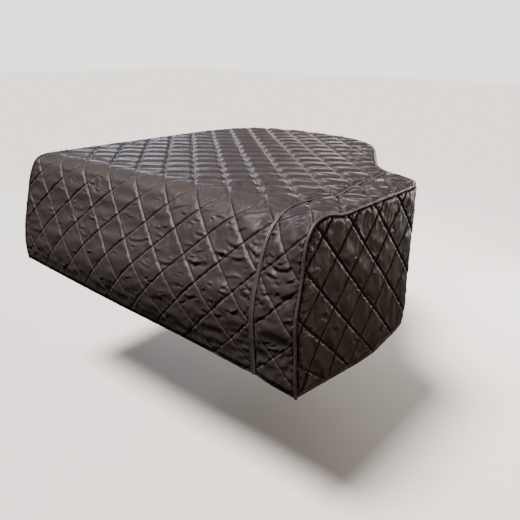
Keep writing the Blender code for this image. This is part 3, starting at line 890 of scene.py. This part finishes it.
def quilted_panel(panel, sizes, materials):
    """One closed panel of quilted cloth: a settled face, and a lining sewn to its edge."""
    outline = panel.outline
    ring = len(outline)
    flat, faces = cut_cloth(panel, FACE_DIVISIONS, True)
    middle, out = hanging(panel.shape, flat)
    height, slack, stitched = face_heights(panel, flat, sizes)
    height[:ring] = 0
    stitched[:ring] = True
    start = middle + out * height[:, None]
    settled = simulate(panel.name, start, faces, stitched, slack)
    lift = ((settled - middle) * out).sum(axis=1)
    slide = settled - middle - out * lift[:, None]
    lift = np.clip(lift, -STITCH_DEPTH, HIGHEST_LOFT)
    lift[:ring] = 0
    face_points = middle + slide + out * lift[:, None]

    back_flat, back_faces = cut_cloth(panel, LINING_DIVISIONS, False)
    back_middle, back_out = hanging(panel.shape, back_flat)
    sink = np.ones(len(back_flat))
    for distance in stitch_distances(panel, back_flat).T:
        sink = sink * rounded(distance, ROLL)
    sink = sink * LINING_LOFT + LINING_GAP
    back_points = back_middle - back_out * sink[:, None]
    points = np.concatenate((face_points, back_points[ring:]))
    renumbered = np.concatenate((np.arange(ring), np.arange(len(back_flat) - ring) + len(flat)))
    every = np.concatenate((faces, renumbered[back_faces][:, ::-1]))
    places = np.concatenate((flat, back_flat[ring:]))
    ids = np.concatenate((np.zeros(len(faces), int), np.ones(len(back_faces), int)))
    maps = {"cloth": places, "quilting": lattice(panel, places)}
    return build_mesh(panel.name, points, every, maps, ids, materials)


def top_and_front_hem(flat):
    """Height above the front hem, along the cloth."""
    return front_length(flat[:, 0]) + flat[:, 1]


def side_hem(flat):
    """Height above the skirt's hem."""
    return hem_depth(flat[:, 0]) + flat[:, 1]


def beyond_join_tape(flat):
    """Distance out from the edge of the tape over the join."""
    return np.abs(flat[:, 0] - join_x(flat[:, 1] + LIP_Y)) - tape_half_width(flat[:, 1])


def far_from_tape(flat):
    """The skirt has no tape: it lies a metre off."""
    return np.ones(len(flat))


def share_between(values, none, full):
    """0 up to none, rising evenly to 1 at full."""
    return np.clip((values - none) / (full - none), 0, 1)


def on_top(flat):
    """1 on the flat top, 0 on the lip and the front."""
    return share_between(flat[:, 1], *TOP_FROM)


def down_front(flat):
    """1 on the hanging front, 0 on the lip and the top."""
    return share_between(flat[:, 1], *FRONT_FROM)


def near_front_hem(flat):
    """1 at the hem of the front, 0 above it."""
    return share_between(top_and_front_hem(flat), *HEM_FROM)


def puffed_on_top(flat):
    """The wadding stands up on the flat top, and is drawn flat over the lip and the front."""
    return on_top(flat) + FRONT_PUFF * down_front(flat)


def drawn_on_top(flat):
    """How each family of stitches draws the wadding over the top, the lip and the front."""
    top, front, hem = on_top(flat), down_front(flat), near_front_hem(flat)
    shares = np.stack((top, 1 - top - front, front * (1 - hem), front * hem))
    drawn = np.array((TOP_DRAWN, LIP_DRAWN, FRONT_DRAWN, HEM_DRAWN))
    return np.einsum("kfp,kn->fpn", drawn, shares)


def puffed_on_side(flat):
    """The skirt's wadding, evenly puffed."""
    return np.full(len(flat), SIDE_PUFF)


def drawn_on_side(flat):
    """How each family of the skirt's stitches draws the wadding, the same everywhere."""
    return np.array(SIDE_DRAWN)[:, :, None] + np.zeros(len(flat))


def crumpled_front(flat):
    """Short creases in a diamond at each place: most down the front near the join."""
    near_join = np.exp(-np.abs(flat[:, 0] - join_x(ON_FRONT)) / CRUMPLED_REACH)
    down = share_between(flat[:, 1], *CRUMPLED_FROM) * (1 - near_front_hem(flat))
    return CREASES_IN_DIAMOND * (FEWEST_CREASES + (1 - FEWEST_CREASES) * near_join) * down


def crumpled_side(flat):
    """Short creases in a diamond of the skirt."""
    return np.full(len(flat), SIDE_CREASES_IN_DIAMOND)


def main_panel():
    """Panel of the top and front, from the bass side to the join."""
    outline = panel_outline(lambda y: -HALF_WIDTH + CLOTH_INSET,
                            lambda y: join_x(y) - JOIN_GAP / 2)
    panel = Panel("main_panel_cloth", outline, MAIN_QUILTING, undragged, cover_point,
                  top_and_front_hem, beyond_join_tape, puffed_on_top, drawn_on_top,
                  MAIN_CREASES, 1)
    panel.creases = MAIN_CREASES + tuple(small_creases(panel, MAIN_LEAN, crumpled_front))
    return panel


def treble_strip():
    """Panel of the top and front, from the join to the treble side."""
    outline = panel_outline(lambda y: join_x(y) + JOIN_GAP / 2,
                            lambda y: HALF_WIDTH - CLOTH_INSET)
    panel = Panel("treble_strip_cloth", outline, STRIP_QUILTING, undragged, cover_point,
                  top_and_front_hem, beyond_join_tape, puffed_on_top, drawn_on_top,
                  STRIP_CREASES, 2)
    panel.creases = STRIP_CREASES + tuple(small_creases(panel, STRIP_LEAN, crumpled_front))
    return panel


def side_skirt():
    """Panel that hangs round the treble side, the bentside, the tail and the spine."""
    panel = Panel("side_skirt_cloth", skirt_outline(), SIDE_QUILTING, dragged, skirt_point,
                  side_hem, far_from_tape, puffed_on_side, drawn_on_side, SIDE_CREASES, 3)
    panel.creases = SIDE_CREASES + tuple(small_creases(panel, SIDE_LEAN, crumpled_side))
    return panel


# ------------------------------------------------------- tape and piping
def frames_along(path):
    """Unit directions of a path and, square to them, one that turns as little as it can."""
    run = np.gradient(path, axis=0)
    run /= np.linalg.norm(run, axis=1)[:, None]
    side = np.cross(run[0], (1.0, 0.0, 0.0))
    sides = []
    for direction in run:
        side = side - direction * (side @ direction)
        side = side / np.linalg.norm(side)
        sides.append(side)
    return run, np.array(sides)


def evenly(path, step):
    """The same open path with its points step apart."""
    lengths = run_along(path)
    places = np.linspace(0, lengths[-1], round(lengths[-1] / step) + 1)
    return np.stack([np.interp(places, lengths, column) for column in path.T], axis=1), places


def swept_mesh(name, rings, maps, material):
    """Closed mesh through rings of points, one ring after another, with both ends filled."""
    count, sides = rings.shape[:2]
    index = np.arange(count * sides).reshape(count, sides)
    here, ahead = index[:-1], index[1:]
    here_next, ahead_next = np.roll(here, -1, axis=1), np.roll(ahead, -1, axis=1)
    walls = np.concatenate((np.stack((here, here_next, ahead_next), axis=-1).reshape(-1, 3),
                            np.stack((here, ahead_next, ahead), axis=-1).reshape(-1, 3)))
    first, last = count * sides, count * sides + 1
    caps = [(index[0, (k + 1) % sides], index[0, k], first) for k in range(sides)]
    caps += [(index[-1, k], index[-1, (k + 1) % sides], last) for k in range(sides)]
    ends = [rings[0].mean(axis=0), rings[-1].mean(axis=0)]
    points = np.concatenate((rings.reshape(-1, 3), ends))
    places = np.concatenate((maps.reshape(-1, 2), [maps[0, 0]], [maps[-1, 0]]))
    faces = np.concatenate((walls, np.array(caps)))
    ids = np.zeros(len(faces), int)
    return build_mesh(name, points, faces, {"cloth": places}, ids, [material])


def tape_half_width(v):
    """Half the width of the join tape, which is sewn flatter and wider down the front."""
    return np.interp(v, TAPE_WIDTH_PLACES, TAPE_HALF_WIDTHS)


def join_tape(material):
    """Bound tape over the join: a folded edge at either side and a dip along its middle."""
    _, back_y = corner_behind(join_x)
    ends = ((0.0, -front_length(join_x(ON_FRONT))), (0.0, back_y - LIP_Y))
    v = evenly(np.array(ends), TAPE_STEP)[0][:, 1]
    centre = join_x(v + LIP_Y)
    half = tape_half_width(v)
    uneven = ripple(np.stack((centre, v), axis=1), TAPE_UNEVEN_REACH, TAPE_SEED)
    shares, heights = np.array(TAPE_SECTION).T
    u = centre[:, None] + shares * half[:, None]
    lift = TAPE_BASE + heights * (1 + TAPE_UNEVEN * uneven[:, None])
    flat = np.stack((u.ravel(), np.repeat(v, len(shares))), axis=1)
    middle, out = hanging(cover_point, flat)
    rings = (middle + out * lift.reshape(-1, 1)).reshape(len(v), len(shares), 3)
    maps = flat.reshape(len(v), len(shares), 2)
    return swept_mesh("join_tape_cloth", rings[:, ::-1], maps[:, ::-1], material)


def edge_piping(material):
    """Cord in a bias strip of cloth: up the treble corner, round the top, down the bass one."""
    def corner(section):
        """Points (y, z) down one corner of the front."""
        down = np.arange(0, SECTION_LENGTHS[section], FALL_STEP)[1:]
        return section_point(section, np.append(down, SECTION_LENGTHS[section]))

    treble, bass = corner(-1)[::-1], corner(0)
    path = [(HALF_WIDTH, y, z) for y, z in treble] + [(x, y, TOP_Z) for x, y in EDGE]
    path += [(-HALF_WIDTH, y, z) for y, z in bass]
    path, places = evenly(np.array(path), PIPING_STEP)
    run, side = frames_along(path)
    other = np.cross(run, side)
    turns = np.arange(PIPING_SIDES) * 2 * math.pi / PIPING_SIDES
    wrinkles = [[noise.noise(Vector((s / PIPING_WRINKLE_LENGTH + math.cos(t),
                                     math.sin(t) * PIPING_WRINKLE_ROUND, 0)))
                 for t in turns] for s in places]
    radius = PIPING_RADIUS + PIPING_WRINKLE * np.array(wrinkles)
    rings = (path[:, None] + side[:, None] * (radius * np.cos(turns))[..., None]
             + other[:, None] * (radius * np.sin(turns))[..., None])
    maps = np.stack(np.broadcast_arrays(places[:, None], turns * PIPING_RADIUS), axis=-1)
    return swept_mesh("edge_piping_cord", rings, maps, material)


# ------------------------------------------------------- finishes
def linear(code):
    """Linear RGBA of an sRGB hex colour."""
    values = [int(code[i:i + 2], 16) / 255 for i in (1, 3, 5)]
    return [v / 12.92 if v <= 0.04045 else ((v + 0.055) / 1.055) ** 2.4 for v in values] + [1.0]


def deeper(color):
    """A darker colour: where the cloth took more dye, and in the bias nylon painted shade in the
    troughs of its wrinkles.
    """
    return [DEEPER_DYE_AND_SHADE * v for v in color[:3]] + [1.0]


def add_node(tree, kind, inputs=None, **settings):
    """Add a node, with its settings, and its inputs given as values or as sockets to link."""
    made = tree.nodes.new(kind)
    for key, value in settings.items():
        setattr(made, key, value)
    for key, value in (inputs or {}).items():
        if isinstance(value, bpy.types.NodeSocket):
            tree.links.new(value, made.inputs[key])
        else:
            made.inputs[key].default_value = value
    return made


def new_material(name):
    """Empty material and its node tree."""
    material = bpy.data.materials.new(name)
    material.use_nodes = True
    material.node_tree.nodes.clear()
    return material, material.node_tree


def woven_bump(tree, place, strength, under=None):
    """Bump of a plain weave, on top of the bump under it."""
    threads = [add_node(tree, "ShaderNodeTexWave", {"Vector": place, "Scale": WAVE_BAND / THREAD},
                        bands_direction=axis).outputs["Fac"] for axis in ("X", "Y")]
    weave = add_node(tree, "ShaderNodeMath", {0: threads[0], 1: threads[1]}, operation="MAXIMUM")
    inputs = {"Height": weave.outputs[0], "Strength": strength, "Distance": THREAD_DEPTH}
    if under:
        inputs["Normal"] = under
    return add_node(tree, "ShaderNodeBump", inputs).outputs["Normal"]


def off_stitch_line(tree, coordinate):
    """Distance to the nearest stitch line of one family, as a share of a diamond, from 0 to 0.5."""
    folded = add_node(tree, "ShaderNodeMath", {0: coordinate, 1: 1.0}, operation="PINGPONG")
    return add_node(tree, "ShaderNodeMath", {0: folded.outputs[0], 1: 0.5},
                    operation="PINGPONG").outputs[0]


def paint_seam_light(tree, tone, families, folds, down, hangs_from):
    """Tone with painted shade on one side of each family of stitches and a painted highlight on the
    other.

    Both are painted only where the cloth hangs. Gives the tone and the share of light that the
    painted shade leaves, from the painted shade tone in a fold to 1 outside them.
    """
    hangs = {"Value": down, "From Min": hangs_from, "From Max": hangs_from - HANGS_WITHIN,
             "To Min": 1.0}
    darkest = add_node(tree, "ShaderNodeMapRange", {**hangs, "To Max": PAINTED_SHADE_TONE})
    painted_lit_share = 1.0
    # folds holds, for each family, the side, reach and strength of its painted shade and painted
    # highlight
    for coordinate, (dark_way, reach, paler) in zip(families, folds):
        turned = add_node(tree, "ShaderNodeMath", {0: coordinate, 1: dark_way},
                          operation="MULTIPLY")
        beyond = add_node(tree, "ShaderNodeMath", {0: turned.outputs[0]}, operation="FRACT")
        # painted shade: the colour darkens towards the stitch line on one side of it
        painted_shade = add_node(tree, "ShaderNodeMapRange",
                          {"Value": beyond.outputs[0], "From Min": SEAM_DARK / DIAMOND,
                           "From Max": reach / DIAMOND, "To Min": darkest.outputs[0],
                           "To Max": 1.0},
                          interpolation_type="SMOOTHSTEP")
        painted_lit_share = add_node(tree, "ShaderNodeMath", {0: painted_lit_share, 1: painted_shade.outputs[0]},
                              operation="MULTIPLY").outputs[0]
        # painted highlight: the colour is paler on the other side of the stitch line
        palest = add_node(tree, "ShaderNodeMapRange", {**hangs, "To Max": paler})
        painted_highlight = add_node(tree, "ShaderNodeMapRange",
                          {"Value": beyond.outputs[0], "From Min": 1 - PAINTED_HIGHLIGHT_REACH / DIAMOND,
                           "From Max": 1 - THREAD_WIDTH / DIAMOND, "To Min": 1.0,
                           "To Max": palest.outputs[0]})
        for painted_mark in (painted_shade, painted_highlight):
            tone = add_node(tree, "ShaderNodeVectorMath", {0: tone, "Scale": painted_mark.outputs[0]},
                            operation="SCALE").outputs[0]
    return tone, painted_lit_share


def draw_stitches(tree, tone, families, thread_color):
    """Tone with dashes of thread along both families of stitch lines."""
    across, along = families
    for off, other in ((off_stitch_line(tree, across), along),
                       (off_stitch_line(tree, along), across)):
        count = add_node(tree, "ShaderNodeMath", {0: other, 1: DIAMOND / STITCH},
                         operation="MULTIPLY")
        part = add_node(tree, "ShaderNodeMath", {0: count.outputs[0]}, operation="FRACT")
        dash = add_node(tree, "ShaderNodeMath", {0: part.outputs[0], 1: STITCH_SHOWS},
                        operation="LESS_THAN")
        on_line = add_node(tree, "ShaderNodeMath", {0: off, 1: THREAD_WIDTH / 2 / DIAMOND},
                           operation="LESS_THAN")
        sewn = add_node(tree, "ShaderNodeMath", {0: dash.outputs[0], 1: on_line.outputs[0]},
                        operation="MULTIPLY")
        tone = add_node(tree, "ShaderNodeMix", {"Factor": sewn.outputs[0], 6: tone,
                                                7: thread_color}, data_type="RGBA").outputs[2]
    return tone


def quilted_nylon(name, color, deep_color, thread_color, streaks, folds, hangs_from):
    """Quilted nylon taffeta: woven from fine yarn, coated, pressed, and stitched over wadding.

    The press gives its broad satin sheen and the coating its crisp fine creases, which run
    across the cloth by streaks. Where it hangs, each line of stitches has painted shade on one
    side, standing in for the wadding hiding the light, where the gloss is also dulled, and a
    painted highlight on the other. The thread shows as pale dashes.
    """
    material, tree = new_material(name)
    place = add_node(tree, "ShaderNodeUVMap", uv_map="cloth").outputs["UV"]
    uneven = add_node(tree, "ShaderNodeTexNoise",
                      {"Vector": place, "Scale": 1 / UNEVEN_DYE, "Detail": 3.0})
    tone = add_node(tree, "ShaderNodeMix", {"Factor": uneven.outputs["Fac"], 6: deep_color,
                                            7: color}, data_type="RGBA").outputs[2]
    drawn = add_node(tree, "ShaderNodeMapping", {"Vector": place, "Scale": streaks})
    crinkle = add_node(tree, "ShaderNodeTexNoise", {"Vector": drawn.outputs[0], "Detail": 2.5,
                                                    "Scale": 1 / CRINKLE, "Roughness": 0.55})
    creased = add_node(tree, "ShaderNodeBump", {"Height": crinkle.outputs["Fac"], "Strength": 0.55,
                                                "Distance": CRINKLE_DEPTH})
    normal = woven_bump(tree, place, FACE_WEAVE, creased.outputs["Normal"])
    seams = add_node(tree, "ShaderNodeUVMap", uv_map="quilting")
    split = add_node(tree, "ShaderNodeSeparateXYZ", {"Vector": seams.outputs["UV"]})
    families = split.outputs["X"], split.outputs["Y"]
    down = add_node(tree, "ShaderNodeSeparateXYZ", {"Vector": place}).outputs["Y"]
    tone, painted_lit_share = paint_seam_light(tree, tone, families, folds, down, hangs_from)
    tone = draw_stitches(tree, tone, families, thread_color)
    pressed = add_node(tree, "ShaderNodeMapRange", {"Value": uneven.outputs["Fac"],
                                                    "To Min": SMOOTHEST, "To Max": ROUGHEST})
    # the gloss is dulled where shade is painted
    gloss = add_node(tree, "ShaderNodeMix", {"Factor": painted_lit_share, 2: 1.0,
                                             3: pressed.outputs[0]})
    shader = add_node(tree, "ShaderNodeBsdfPrincipled",
                      {"Base Color": tone, "Roughness": gloss.outputs[0], "IOR": COATING_IOR,
                       "Normal": normal})
    add_node(tree, "ShaderNodeOutputMaterial", {"Surface": shader.outputs["BSDF"]})
    return material


def woven_lining(name, color):
    """Woven polyester lining: dull and dark, with deeper patches where the yarn took more dye."""
    material, tree = new_material(name)
    place = add_node(tree, "ShaderNodeUVMap", uv_map="cloth").outputs["UV"]
    normal = woven_bump(tree, place, LINING_WEAVE)
    uneven = add_node(tree, "ShaderNodeTexNoise", {"Vector": place, "Scale": 1 / UNEVEN_DYE})
    tone = add_node(tree, "ShaderNodeMix", {"Factor": uneven.outputs["Fac"], 6: deeper(color),
                                            7: color}, data_type="RGBA").outputs[2]
    shader = add_node(tree, "ShaderNodeBsdfPrincipled",
                      {"Base Color": tone, "Roughness": LINING_ROUGHNESS, "IOR": FIBRE_IOR,
                       "Normal": normal})
    add_node(tree, "ShaderNodeOutputMaterial", {"Surface": shader.outputs["BSDF"]})
    return material


def bias_nylon(name, color, roughness):
    """Nylon cut on the bias and folded or pulled tight over cord.

    Its slanting threads and tight pull show as fine slanting wrinkles and a soft, even sheen. Shade
    is painted into the colour in the troughs of the wrinkles.
    """
    material, tree = new_material(name)
    place = add_node(tree, "ShaderNodeUVMap", uv_map="cloth").outputs["UV"]
    slanted = add_node(tree, "ShaderNodeMapping", {"Vector": place,
                                                   "Rotation": (0, 0, math.radians(45))})
    wrinkles = add_node(tree, "ShaderNodeTexNoise", {"Vector": slanted.outputs[0], "Detail": 2.0,
                                                     "Scale": 1 / BIAS_WRINKLE})
    creased = add_node(tree, "ShaderNodeBump", {"Height": wrinkles.outputs["Fac"], "Strength": 0.5,
                                                "Distance": CRINKLE_DEPTH})
    normal = woven_bump(tree, slanted.outputs[0], BIAS_WEAVE, creased.outputs["Normal"])
    # painted shade: the colour is darker in the troughs of the wrinkles that the bump draws
    tone = add_node(tree, "ShaderNodeMix", {"Factor": wrinkles.outputs["Fac"], 6: deeper(color),
                                            7: color}, data_type="RGBA").outputs[2]
    shader = add_node(tree, "ShaderNodeBsdfPrincipled",
                      {"Base Color": tone, "Roughness": roughness, "IOR": FIBRE_IOR,
                       "Normal": normal})
    add_node(tree, "ShaderNodeOutputMaterial", {"Surface": shader.outputs["BSDF"]})
    return material


def floor_paint(seen_color, thrown_color):
    """Matt pale paint that throws only part of its light back up at the cover."""
    material, tree = new_material("matt_floor_paint")
    path = add_node(tree, "ShaderNodeLightPath")
    seen = add_node(tree, "ShaderNodeBsdfDiffuse", {"Color": seen_color})
    thrown = add_node(tree, "ShaderNodeBsdfDiffuse", {"Color": thrown_color})
    mixed = add_node(tree, "ShaderNodeMixShader", {0: path.outputs["Is Camera Ray"],
                                                   1: thrown.outputs[0], 2: seen.outputs[0]})
    add_node(tree, "ShaderNodeOutputMaterial", {"Surface": mixed.outputs[0]})
    return material


# ------------------------------------------------------- stage
def add_light(collection, name, kind, color, power, towards):
    """Light that shines towards a direction."""
    data = bpy.data.lights.new(name, kind)
    data.energy = power
    data.color = linear(color)[:3]
    light = bpy.data.objects.new(name, data)
    light.rotation_euler = towards.to_track_quat("-Z", "Y").to_euler()
    collection.objects.link(light)
    return light


def add_area_light(collection, name, power):
    """Rectangular light of the table, which the camera doesn't see."""
    place, target, size, color = LIGHTS[name]
    light = add_light(collection, name, "AREA", color, power, Vector(target) - Vector(place))
    light.data.shape = "RECTANGLE"
    light.data.size, light.data.size_y = size
    light.location = place
    light.visible_camera = False


def studio_world():
    """World that is pale to the camera and lights the cover only a little."""
    world = bpy.data.worlds.new("studio")
    world.use_nodes = True
    tree = world.node_tree
    tree.nodes.clear()
    path = add_node(tree, "ShaderNodeLightPath")
    seen, dim = (add_node(tree, "ShaderNodeBackground", {"Color": linear(color),
                                                         "Strength": strength})
                 for color, strength in (WORLD_SEEN, WORLD_LIGHT))
    mixed = add_node(tree, "ShaderNodeMixShader", {0: path.outputs["Is Camera Ray"],
                                                   1: dim.outputs[0], 2: seen.outputs[0]})
    add_node(tree, "ShaderNodeOutputWorld", {"Surface": mixed.outputs[0]})
    return world


def camera_matrix():
    """World matrix of the camera from its place, yaw, pitch and roll."""
    yaw, pitch, roll = (math.radians(x) for x in (CAMERA_YAW, CAMERA_PITCH, CAMERA_ROLL))
    ahead = Vector((-math.sin(yaw) * math.cos(pitch), math.cos(yaw) * math.cos(pitch),
                    -math.sin(pitch)))
    right = Vector((math.cos(yaw), math.sin(yaw), 0))
    up = right.cross(ahead)
    rolled_right = math.cos(roll) * right + math.sin(roll) * up
    rolled_up = -math.sin(roll) * right + math.cos(roll) * up
    matrix = Matrix((rolled_right, rolled_up, -ahead)).transposed().to_4x4()
    matrix.translation = Vector(CAMERA_PLACE)
    return matrix


def add_camera(collection):
    """The camera that looks at the cover."""
    data = bpy.data.cameras.new("camera")
    data.sensor_width = CAMERA_SENSOR
    data.lens = CAMERA_LENS
    camera = bpy.data.objects.new("camera", data)
    collection.objects.link(camera)
    camera.matrix_world = camera_matrix()
    return camera


# ------------------------------------------------------- settings a user would change
class CoverSizes(bpy.types.PropertyGroup):
    """Sizes of the cover's wadding."""
    loft: bpy.props.FloatProperty(
        name="Loft", description="Height of the wadding beside the stitches", default=0.0085,
        min=0.001, max=0.012, unit="LENGTH")
    crown: bpy.props.FloatProperty(
        name="Crown", description="How much higher the middle of a diamond on the top stands",
        default=0.0035, min=0, max=0.01, unit="LENGTH")


class CoverColors(bpy.types.PropertyGroup):
    """Colours of the cover's cloths."""
    cloth: bpy.props.FloatVectorProperty(
        name="Cloth", description="Colour of the quilted nylon", subtype="COLOR", size=4,
        default=linear("#383130"))
    cloth_deep: bpy.props.FloatVectorProperty(
        name="Deep Cloth", description="Colour where the nylon took more dye", subtype="COLOR",
        size=4, default=linear("#2d282a"))
    side: bpy.props.FloatVectorProperty(
        name="Side", description="Colour of the quilted nylon of the skirt", subtype="COLOR",
        size=4, default=linear("#3b302a"))
    side_deep: bpy.props.FloatVectorProperty(
        name="Deep Side", description="Colour where the skirt's nylon took more dye",
        subtype="COLOR", size=4, default=linear("#2e2520"))
    thread: bpy.props.FloatVectorProperty(
        name="Thread", description="Colour of the stitching", subtype="COLOR", size=4,
        default=linear("#575052"))
    binding: bpy.props.FloatVectorProperty(
        name="Binding", description="Colour of the tape and the piping", subtype="COLOR", size=4,
        default=linear("#4d4548"))
    lining: bpy.props.FloatVectorProperty(
        name="Lining", description="Colour of the lining", subtype="COLOR", size=4,
        default=linear("#2a2422"))


class StudioSettings(bpy.types.PropertyGroup):
    """Powers of the lights."""
    overhead: bpy.props.FloatProperty(
        name="Overhead", description="Strength of the broad overhead light, watts per square metre",
        default=8.2, min=0)
    window: bpy.props.FloatProperty(
        name="Window", description="Power of the cool light from the far left", default=55.0,
        min=0, unit="POWER")
    tail_window: bpy.props.FloatProperty(
        name="Tail Window", description="Power of the low light behind the tail", default=28.0,
        min=0, unit="POWER")
    treble_lamp: bpy.props.FloatProperty(
        name="Treble Lamp", description="Power of the low light behind the treble side",
        default=40.0, min=0, unit="POWER")
    treble_fill: bpy.props.FloatProperty(
        name="Treble Fill", description="Power of the warm light beside the treble side",
        default=14.0, min=0, unit="POWER")
    far_lamp: bpy.props.FloatProperty(
        name="Far Lamp", description="Power of the small light close behind the tail",
        default=12.0, min=0, unit="POWER")


# ------------------------------------------------------- operators
def panel_cloths(part, colors, color, deep_color, seams):
    """Quilted face and plain lining of one panel."""
    face = quilted_nylon("quilted_nylon_" + part, color, deep_color, colors.thread[:], *seams)
    return face, woven_lining("woven_lining_" + part, colors.lining[:])


class PIANOCOVER_OT_join_tape(bpy.types.Operator):
    """Build the bound tape over the join of the top and front"""
    bl_idname = "piano_cover.join_tape"
    bl_label = "Join Tape"

    def execute(self, context):
        colors = context.scene.cover_colors
        piece = join_tape(bias_nylon("folded_nylon_tape", colors.binding[:], TAPE_ROUGHNESS))
        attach(piece, "root")
        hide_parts("join_tape")
        return {"FINISHED"}


class PIANOCOVER_OT_edge_piping(bpy.types.Operator):
    """Build the piping round the top's edge and down the front corners"""
    bl_idname = "piano_cover.edge_piping"
    bl_label = "Edge Piping"

    def execute(self, context):
        colors = context.scene.cover_colors
        piece = edge_piping(bias_nylon("nylon_over_cord", colors.binding[:], PIPING_ROUGHNESS))
        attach(piece, "root")
        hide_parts("edge_piping")
        return {"FINISHED"}


class PIANOCOVER_OT_main_panel(bpy.types.Operator):
    """Build the quilted panel of the top and front"""
    bl_idname = "piano_cover.main_panel"
    bl_label = "Main Panel"

    def execute(self, context):
        colors = context.scene.cover_colors
        cloths = panel_cloths("top", colors, colors.cloth[:], colors.cloth_deep[:], TOP_SEAMS)
        piece = quilted_panel(main_panel(), context.scene.cover_sizes, cloths)
        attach(piece, "root")
        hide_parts("main_panel")
        return {"FINISHED"}


class PIANOCOVER_OT_treble_strip(bpy.types.Operator):
    """Build the quilted strip on the treble side"""
    bl_idname = "piano_cover.treble_strip"
    bl_label = "Treble Strip"

    def execute(self, context):
        colors = context.scene.cover_colors
        cloths = panel_cloths("strip", colors, colors.cloth[:], colors.cloth_deep[:], TOP_SEAMS)
        piece = quilted_panel(treble_strip(), context.scene.cover_sizes, cloths)
        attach(piece, "root")
        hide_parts("treble_strip")
        return {"FINISHED"}


class PIANOCOVER_OT_side_skirt(bpy.types.Operator):
    """Build the quilted skirt round the sides and tail"""
    bl_idname = "piano_cover.side_skirt"
    bl_label = "Side Skirt"

    def execute(self, context):
        colors = context.scene.cover_colors
        cloths = panel_cloths("side", colors, colors.side[:], colors.side_deep[:], SIDE_SEAMS)
        piece = quilted_panel(side_skirt(), context.scene.cover_sizes, cloths)
        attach(piece, "root")
        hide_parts("side_skirt")
        return {"FINISHED"}


class PIANOCOVER_OT_stage(bpy.types.Operator):
    """Lay the pale floor and set the lights and the camera"""
    bl_idname = "piano_cover.stage"
    bl_label = "Stage"

    def execute(self, context):
        scene, studio = context.scene, context.scene.cover_studio
        bpy.ops.mesh.primitive_plane_add(size=FLOOR_SIZE, location=(0, 0, FLOOR_Z))
        floor = context.active_object
        floor.name = "floor"
        floor.data.materials.append(floor_paint(linear(FLOOR_COLOR), linear(FLOOR_THROWS)))
        for name in LIGHTS:
            add_area_light(scene.collection, name, getattr(studio, name))
        overhead = add_light(scene.collection, "overhead", "SUN", OVERHEAD_COLOR, studio.overhead,
                             -Vector(OVERHEAD_FROM))
        overhead.data.angle = math.radians(OVERHEAD_WIDTH)
        scene.world = studio_world()
        scene.camera = add_camera(scene.collection)
        return {"FINISHED"}


class PIANOCOVER_PT_panel(bpy.types.Panel):
    """Lists the pieces of the cover, the stage and their settings"""
    bl_label = "Piano Cover"
    bl_space_type = "VIEW_3D"
    bl_region_type = "UI"
    bl_category = "Piano Cover"

    def draw(self, context):
        for name, group in SETTINGS.items():
            for key in group.__annotations__:
                self.layout.prop(getattr(context.scene, name), key)
        for step in STEPS:
            self.layout.operator(step.bl_idname)


SETTINGS = {"cover_sizes": CoverSizes, "cover_colors": CoverColors, "cover_studio": StudioSettings}
STEPS = (PIANOCOVER_OT_join_tape, PIANOCOVER_OT_edge_piping, PIANOCOVER_OT_main_panel,
         PIANOCOVER_OT_treble_strip, PIANOCOVER_OT_side_skirt, PIANOCOVER_OT_stage)
CLASSES = (*SETTINGS.values(), *STEPS, PIANOCOVER_PT_panel)


def register():
    """Register the classes and the settings."""
    for cls in CLASSES:
        bpy.utils.register_class(cls)
    for name, group in SETTINGS.items():
        setattr(bpy.types.Scene, name, bpy.props.PointerProperty(type=group))


def unregister():
    """Undo register."""
    for name in SETTINGS:
        delattr(bpy.types.Scene, name)
    for cls in reversed(CLASSES):
        bpy.utils.unregister_class(cls)


def main():
    """Build everything in order."""
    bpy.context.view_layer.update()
    for name in ("Cube", "Light", "Camera"):
        if name in bpy.data.objects:
            bpy.data.objects.remove(bpy.data.objects[name], do_unlink=True)
    register()
    for step in STEPS:
        area, call = step.bl_idname.split(".")
        getattr(getattr(bpy.ops, area), call)()


if __name__ == "__main__":
    main()
